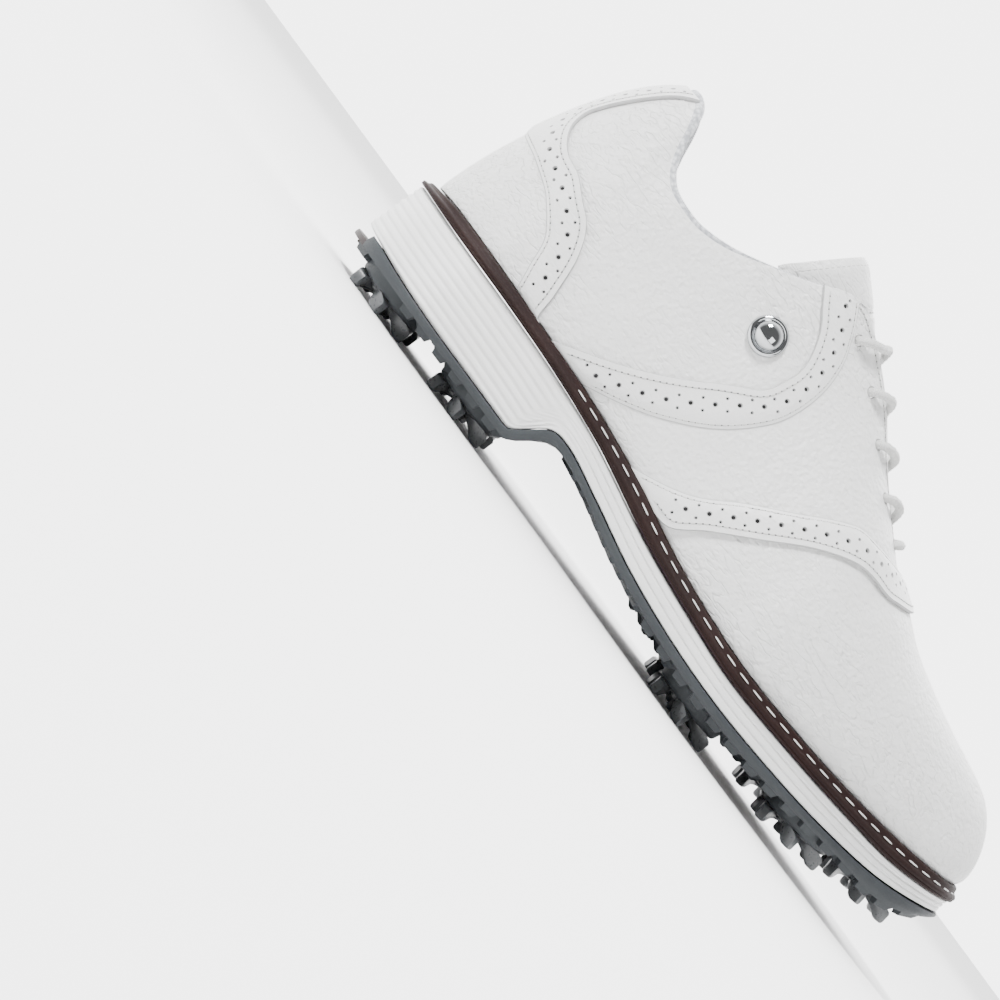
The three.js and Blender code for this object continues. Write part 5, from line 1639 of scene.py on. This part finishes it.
def in_insert(x, y):
    spots = np.array([[x, y]])
    return bool(inside(spots, rounded(FOREFOOT_INSERT))[0] or inside(spots, rounded(HEEL_INSERT))[0])


EDGE_LUG_HEIGHT = 2.1
LUG_HEIGHT, INSERT_LUG_HEIGHT = 2.4, 1.7
ARROW_PITCH, ARROW_SIZE, ARROW_HEIGHT = 9.6, 4.6, 2.3
RIDGE_PITCH, RIDGE_HEIGHT, RIDGE_WIDTH = 2.6, 1.6, 1.5
WAIST_BARS, WAIST_BAR_PITCH, WAIST_BAR_HEIGHT = 9, 5.7, 1.3


def edge_lugs():
    """Blocks round the edge of the forefoot and the heel, dark and brown."""
    dark, brown = [], []
    for start, end, pitch in ((160, 296, 9.4), (5, 80, 9.0)):
        for side in (LATERAL, MEDIAL):
            for x in np.arange(start, end, pitch):
                u0, u1 = turn_at(x), turn_at(min(x + pitch * 0.66, 302))
                corners = [rim(side, u0, 0.7), rim(side, u1, 0.7), rim(side, u1, 5.0), rim(side, u0, 4.2)]
                middle = np.mean(corners, axis=0)
                if near_spike(*middle, 15.5):
                    continue
                block = lug(corners, EDGE_LUG_HEIGHT, 0.74)
                (brown if in_insert(*middle) else dark).append(block)
    return dark, brown


def loose_lugs():
    """Triangular lugs of the forefoot and the heel, clear of spikes and inserts."""
    places = [spot for spot in FOREFOOT_LUGS + HEEL_LUGS
              if not near_spike(*spot[:2], 15.2) and not in_insert(*spot[:2])]
    return [lug(triangle(*spot), LUG_HEIGHT, 0.18, (0.5, 0.3)) for spot in places]


def insert_lugs():
    """Triangular lugs of the brown forefoot insert."""
    places = [spot for spot in INSERT_LUGS if not near_spike(*spot[:2], 16)]
    return [lug(triangle(*spot), INSERT_LUG_HEIGHT, 0.15) for spot in places]


def arrow_lugs():
    """Two rows of paired triangles, point to point, along the middle of the forefoot."""
    blocks = []
    for row, y in enumerate((5.2, -7.6)):
        for k in range(8):
            x = 168 + ARROW_PITCH * k + row * 3
            for turn, shift in ((0, -2.7), (180, 2.7)):
                if not near_spike(x + shift, y, 15.4) and not in_insert(x + shift, y + 3):
                    form = triangle(x + shift, y, ARROW_SIZE, turn)
                    blocks.append(lug(form, ARROW_HEIGHT, 0.2))
    return blocks


def toe_ridges():
    """Sets of three ridges that follow the toe's edge."""
    blocks = []
    for x0, y0, x1, y1 in RIDGE_SETS:
        start, end = np.array([x0, y0]), np.array([x1, y1])
        along = unit(end - start)
        inwards = np.array([-along[1], along[0]])
        if inwards @ (np.array([240, 4]) - start) < 0:
            inwards = -inwards
        for k in range(3):
            shift = inwards * (1.5 + RIDGE_PITCH * k)
            form = bar(*(start + shift), *(end + shift), RIDGE_WIDTH)
            blocks.append(lug(form, RIDGE_HEIGHT, 0.9))
    return blocks


def waist_bars():
    """Slanting bars from the waist plate to both edges."""
    blocks = []
    for side in (LATERAL, MEDIAL):
        for k in range(WAIST_BARS):
            x = 104 + WAIST_BAR_PITCH * k
            inner = WAIST_CENTRE[1] + side * (10.5 + 0.05 * k)
            outer = float(rim(side, turn_at(x + 6), 3.6)[1])
            blocks.append(lug(bar(x, inner, x + 7, outer, 2.6), WAIST_BAR_HEIGHT, 0.86))
    return blocks


def heel_maze():
    """Curved ribs of the heel insert, in three rings about MAZE_CENTRE."""
    ribs = []
    for k, radius in enumerate((7.5, 12.5, 17.5)):
        for start in (-75, -15, 45):
            angle = np.radians(np.linspace(start, start + 46, 7))
            spokes = np.stack([np.cos(angle), np.sin(angle)], -1)
            outer = MAZE_CENTRE + (radius + 1.3) * spokes
            inner = MAZE_CENTRE + (radius - 1.0) * spokes
            loop = np.vstack([outer, inner[::-1]])
            if (loop[:, 0] > 1.5).all() and (k < 2 or abs(start + 15) < 60):
                ribs.append(maze_bar(loop))
    return ribs


def build_lugs():
    dark, brown = edge_lugs()
    dark += loose_lugs() + arrow_lugs() + toe_ridges() + waist_bars()
    brown += insert_lugs() + heel_maze()
    make("outsole_lugs", *joined(dark), RUBBER, slot="outsole_rubber")
    make("insert_lugs", *joined(brown), INSERT, slot="insert_brown")


def maze_bar(loop):
    """Curved rib of the heel insert; loop runs out along one side and back along the other."""
    count = len(loop)
    ground = sole_underside(*loop.T)
    high, low = at_height(loop, ground + 0.4), at_height(loop, ground - 1.3)
    half = count // 2
    faces = [[i, i + 1, count - 2 - i, count - 1 - i] for i in range(half - 1)]
    area = np.cross(loop[faces[0][1]] - loop[faces[0][0]], loop[faces[0][2]] - loop[faces[0][0]])
    faces = faces if area < 0 else [face[::-1] for face in faces]
    return shell(low, high, faces, 0.0, 1)


# ---- Spikes ---------------------------------------------------------------------------------

BLADES = 6
BLADE_SWIRL = math.radians(38)


def blade_form(start_angle):
    """One swirling leg: from the hub out to a claw that stands on the ground."""
    stations = [
        (3.0, 1.3, -4.6, -5.5), (5.2, 1.5, -4.4, -6.0), (7.6, 1.75, -4.2, -6.6), (9.8, 2.1, -4.0, -7.6),
        (11.6, 2.35, -3.8, -9.2), (12.6, 2.3, -3.9, -9.8), (14.0, 1.9, -4.6, -9.8), (14.6, 1.5, -5.4, -9.5),
    ]
    rings = []
    centres = []
    for r, *_ in stations:
        angle = start_angle + BLADE_SWIRL * ((r - 3) / 11.6) ** 1.3
        centres.append((r * math.cos(angle), r * math.sin(angle)))
    centres = np.array(centres)
    along = unit(np.gradient(centres, axis=0))
    for (r, half, high, low), centre, ahead in zip(stations, centres, along):
        across = np.array([-ahead[1], ahead[0]])
        section = [(-half, high), (-half * 0.96, low + 0.7), (-half * 0.62, low), (half * 0.62, low),
                   (half * 0.96, low + 0.7), (half, high)]
        rings.append(np.array([[*(centre + across * a), z] for a, z in section]))
    return capped(rings)


def oriented(points, faces):
    """Faces turned so that the closed form's volume is positive."""
    volume = 0.0
    for face in faces:
        a = points[face[0]]
        for i, j in zip(face[1:-1], face[2:]):
            volume += a @ np.cross(points[i], points[j])
    return (points, faces) if volume > 0 else (points, [face[::-1] for face in faces])


def spike_form():
    disc = lathe([
        (0, -4.95), (3.2, -5.05), (6.8, -4.95), (9.4, -4.6), (10.6, -4.2), (11.25, -3.6),
        (11.25, -1.9), (10.9, -1.7), (5.9, -1.7), (5.9, 6.0), (0, 6.0),
    ], 60)
    button = lathe([(0, -6.6), (1.6, -6.5), (2.6, -6.1), (3.1, -5.3), (3.2, -4.8), (0, -4.8)], 36)
    parts = [oriented(*disc), oriented(*button)]
    parts += [oriented(*blade_form(2 * math.pi * k / BLADES)) for k in range(BLADES)]
    holes = []
    for k in (0, 1):
        angle = math.pi / BLADES + BLADE_SWIRL * 0.3 + k * math.pi
        x, y = 6.6 * math.cos(angle), 6.6 * math.sin(angle)
        rim_profile = ((1.45, -4.5), (1.45, -5.3), (1.65, -5.5), (1.95, -5.4), (2.05, -4.5))
        rings = [at_height(circle(r, 24, x, y), z) for r, z in rim_profile]
        parts.append(oriented(*closed_rings(rings)))
        # Near-black flat disc inside each rim, flush with the face: painted shade for the wrench hole.
        well = lathe([(0, -5.02), (1.5, -5.02), (1.5, -4.6), (0, -4.6)], 20)
        holes.append(oriented(well[0] + (x, y, 0), well[1]))
    return joined(parts), joined(holes)


def build_spikes():
    (points, faces), (shade_disc_points, shade_disc_faces) = spike_form()
    for name, x, y, stands, _, sunk in SPIKES:
        turn, place = spike_place(x, y, stands, sunk)
        body = f"spike_{name}"
        slot = "spike_plastic"
        make(f"{body}_legs", points @ turn.T + place, faces, SPIKE_TPU, [body], body, slot)
        # Dark discs in the wrench-hole rims: painted shade for the holes.
        holes = shade_disc_points @ turn.T + place
        make(f"{body}_wrench_hole_painted_shade", holes, shade_disc_faces, SOCKET_NYLON, (), body, slot)
        paint_node(f"socket_{name}", SOCKET_NYLON)


def paint_node(name, material):
    piece = frame["nodes"][name]
    piece.data.materials.clear()
    piece.data.materials.append(material)


build_leather()
build_bands()
build_collar()
build_vamp_lining()
build_sockliner()
build_tongue()
build_lace()
build_facing_stitches()
build_badge()
build_midsole()
build_welt()
build_outsole_plates()
build_lugs()
build_spikes()
paint_node("insole_board", BOARD)
paint_node("shank", STEEL)
paint_node("toe_puff", STIFFENER_FIBRE)
paint_node("heel_stiffener", STIFFENER_FIBRE)
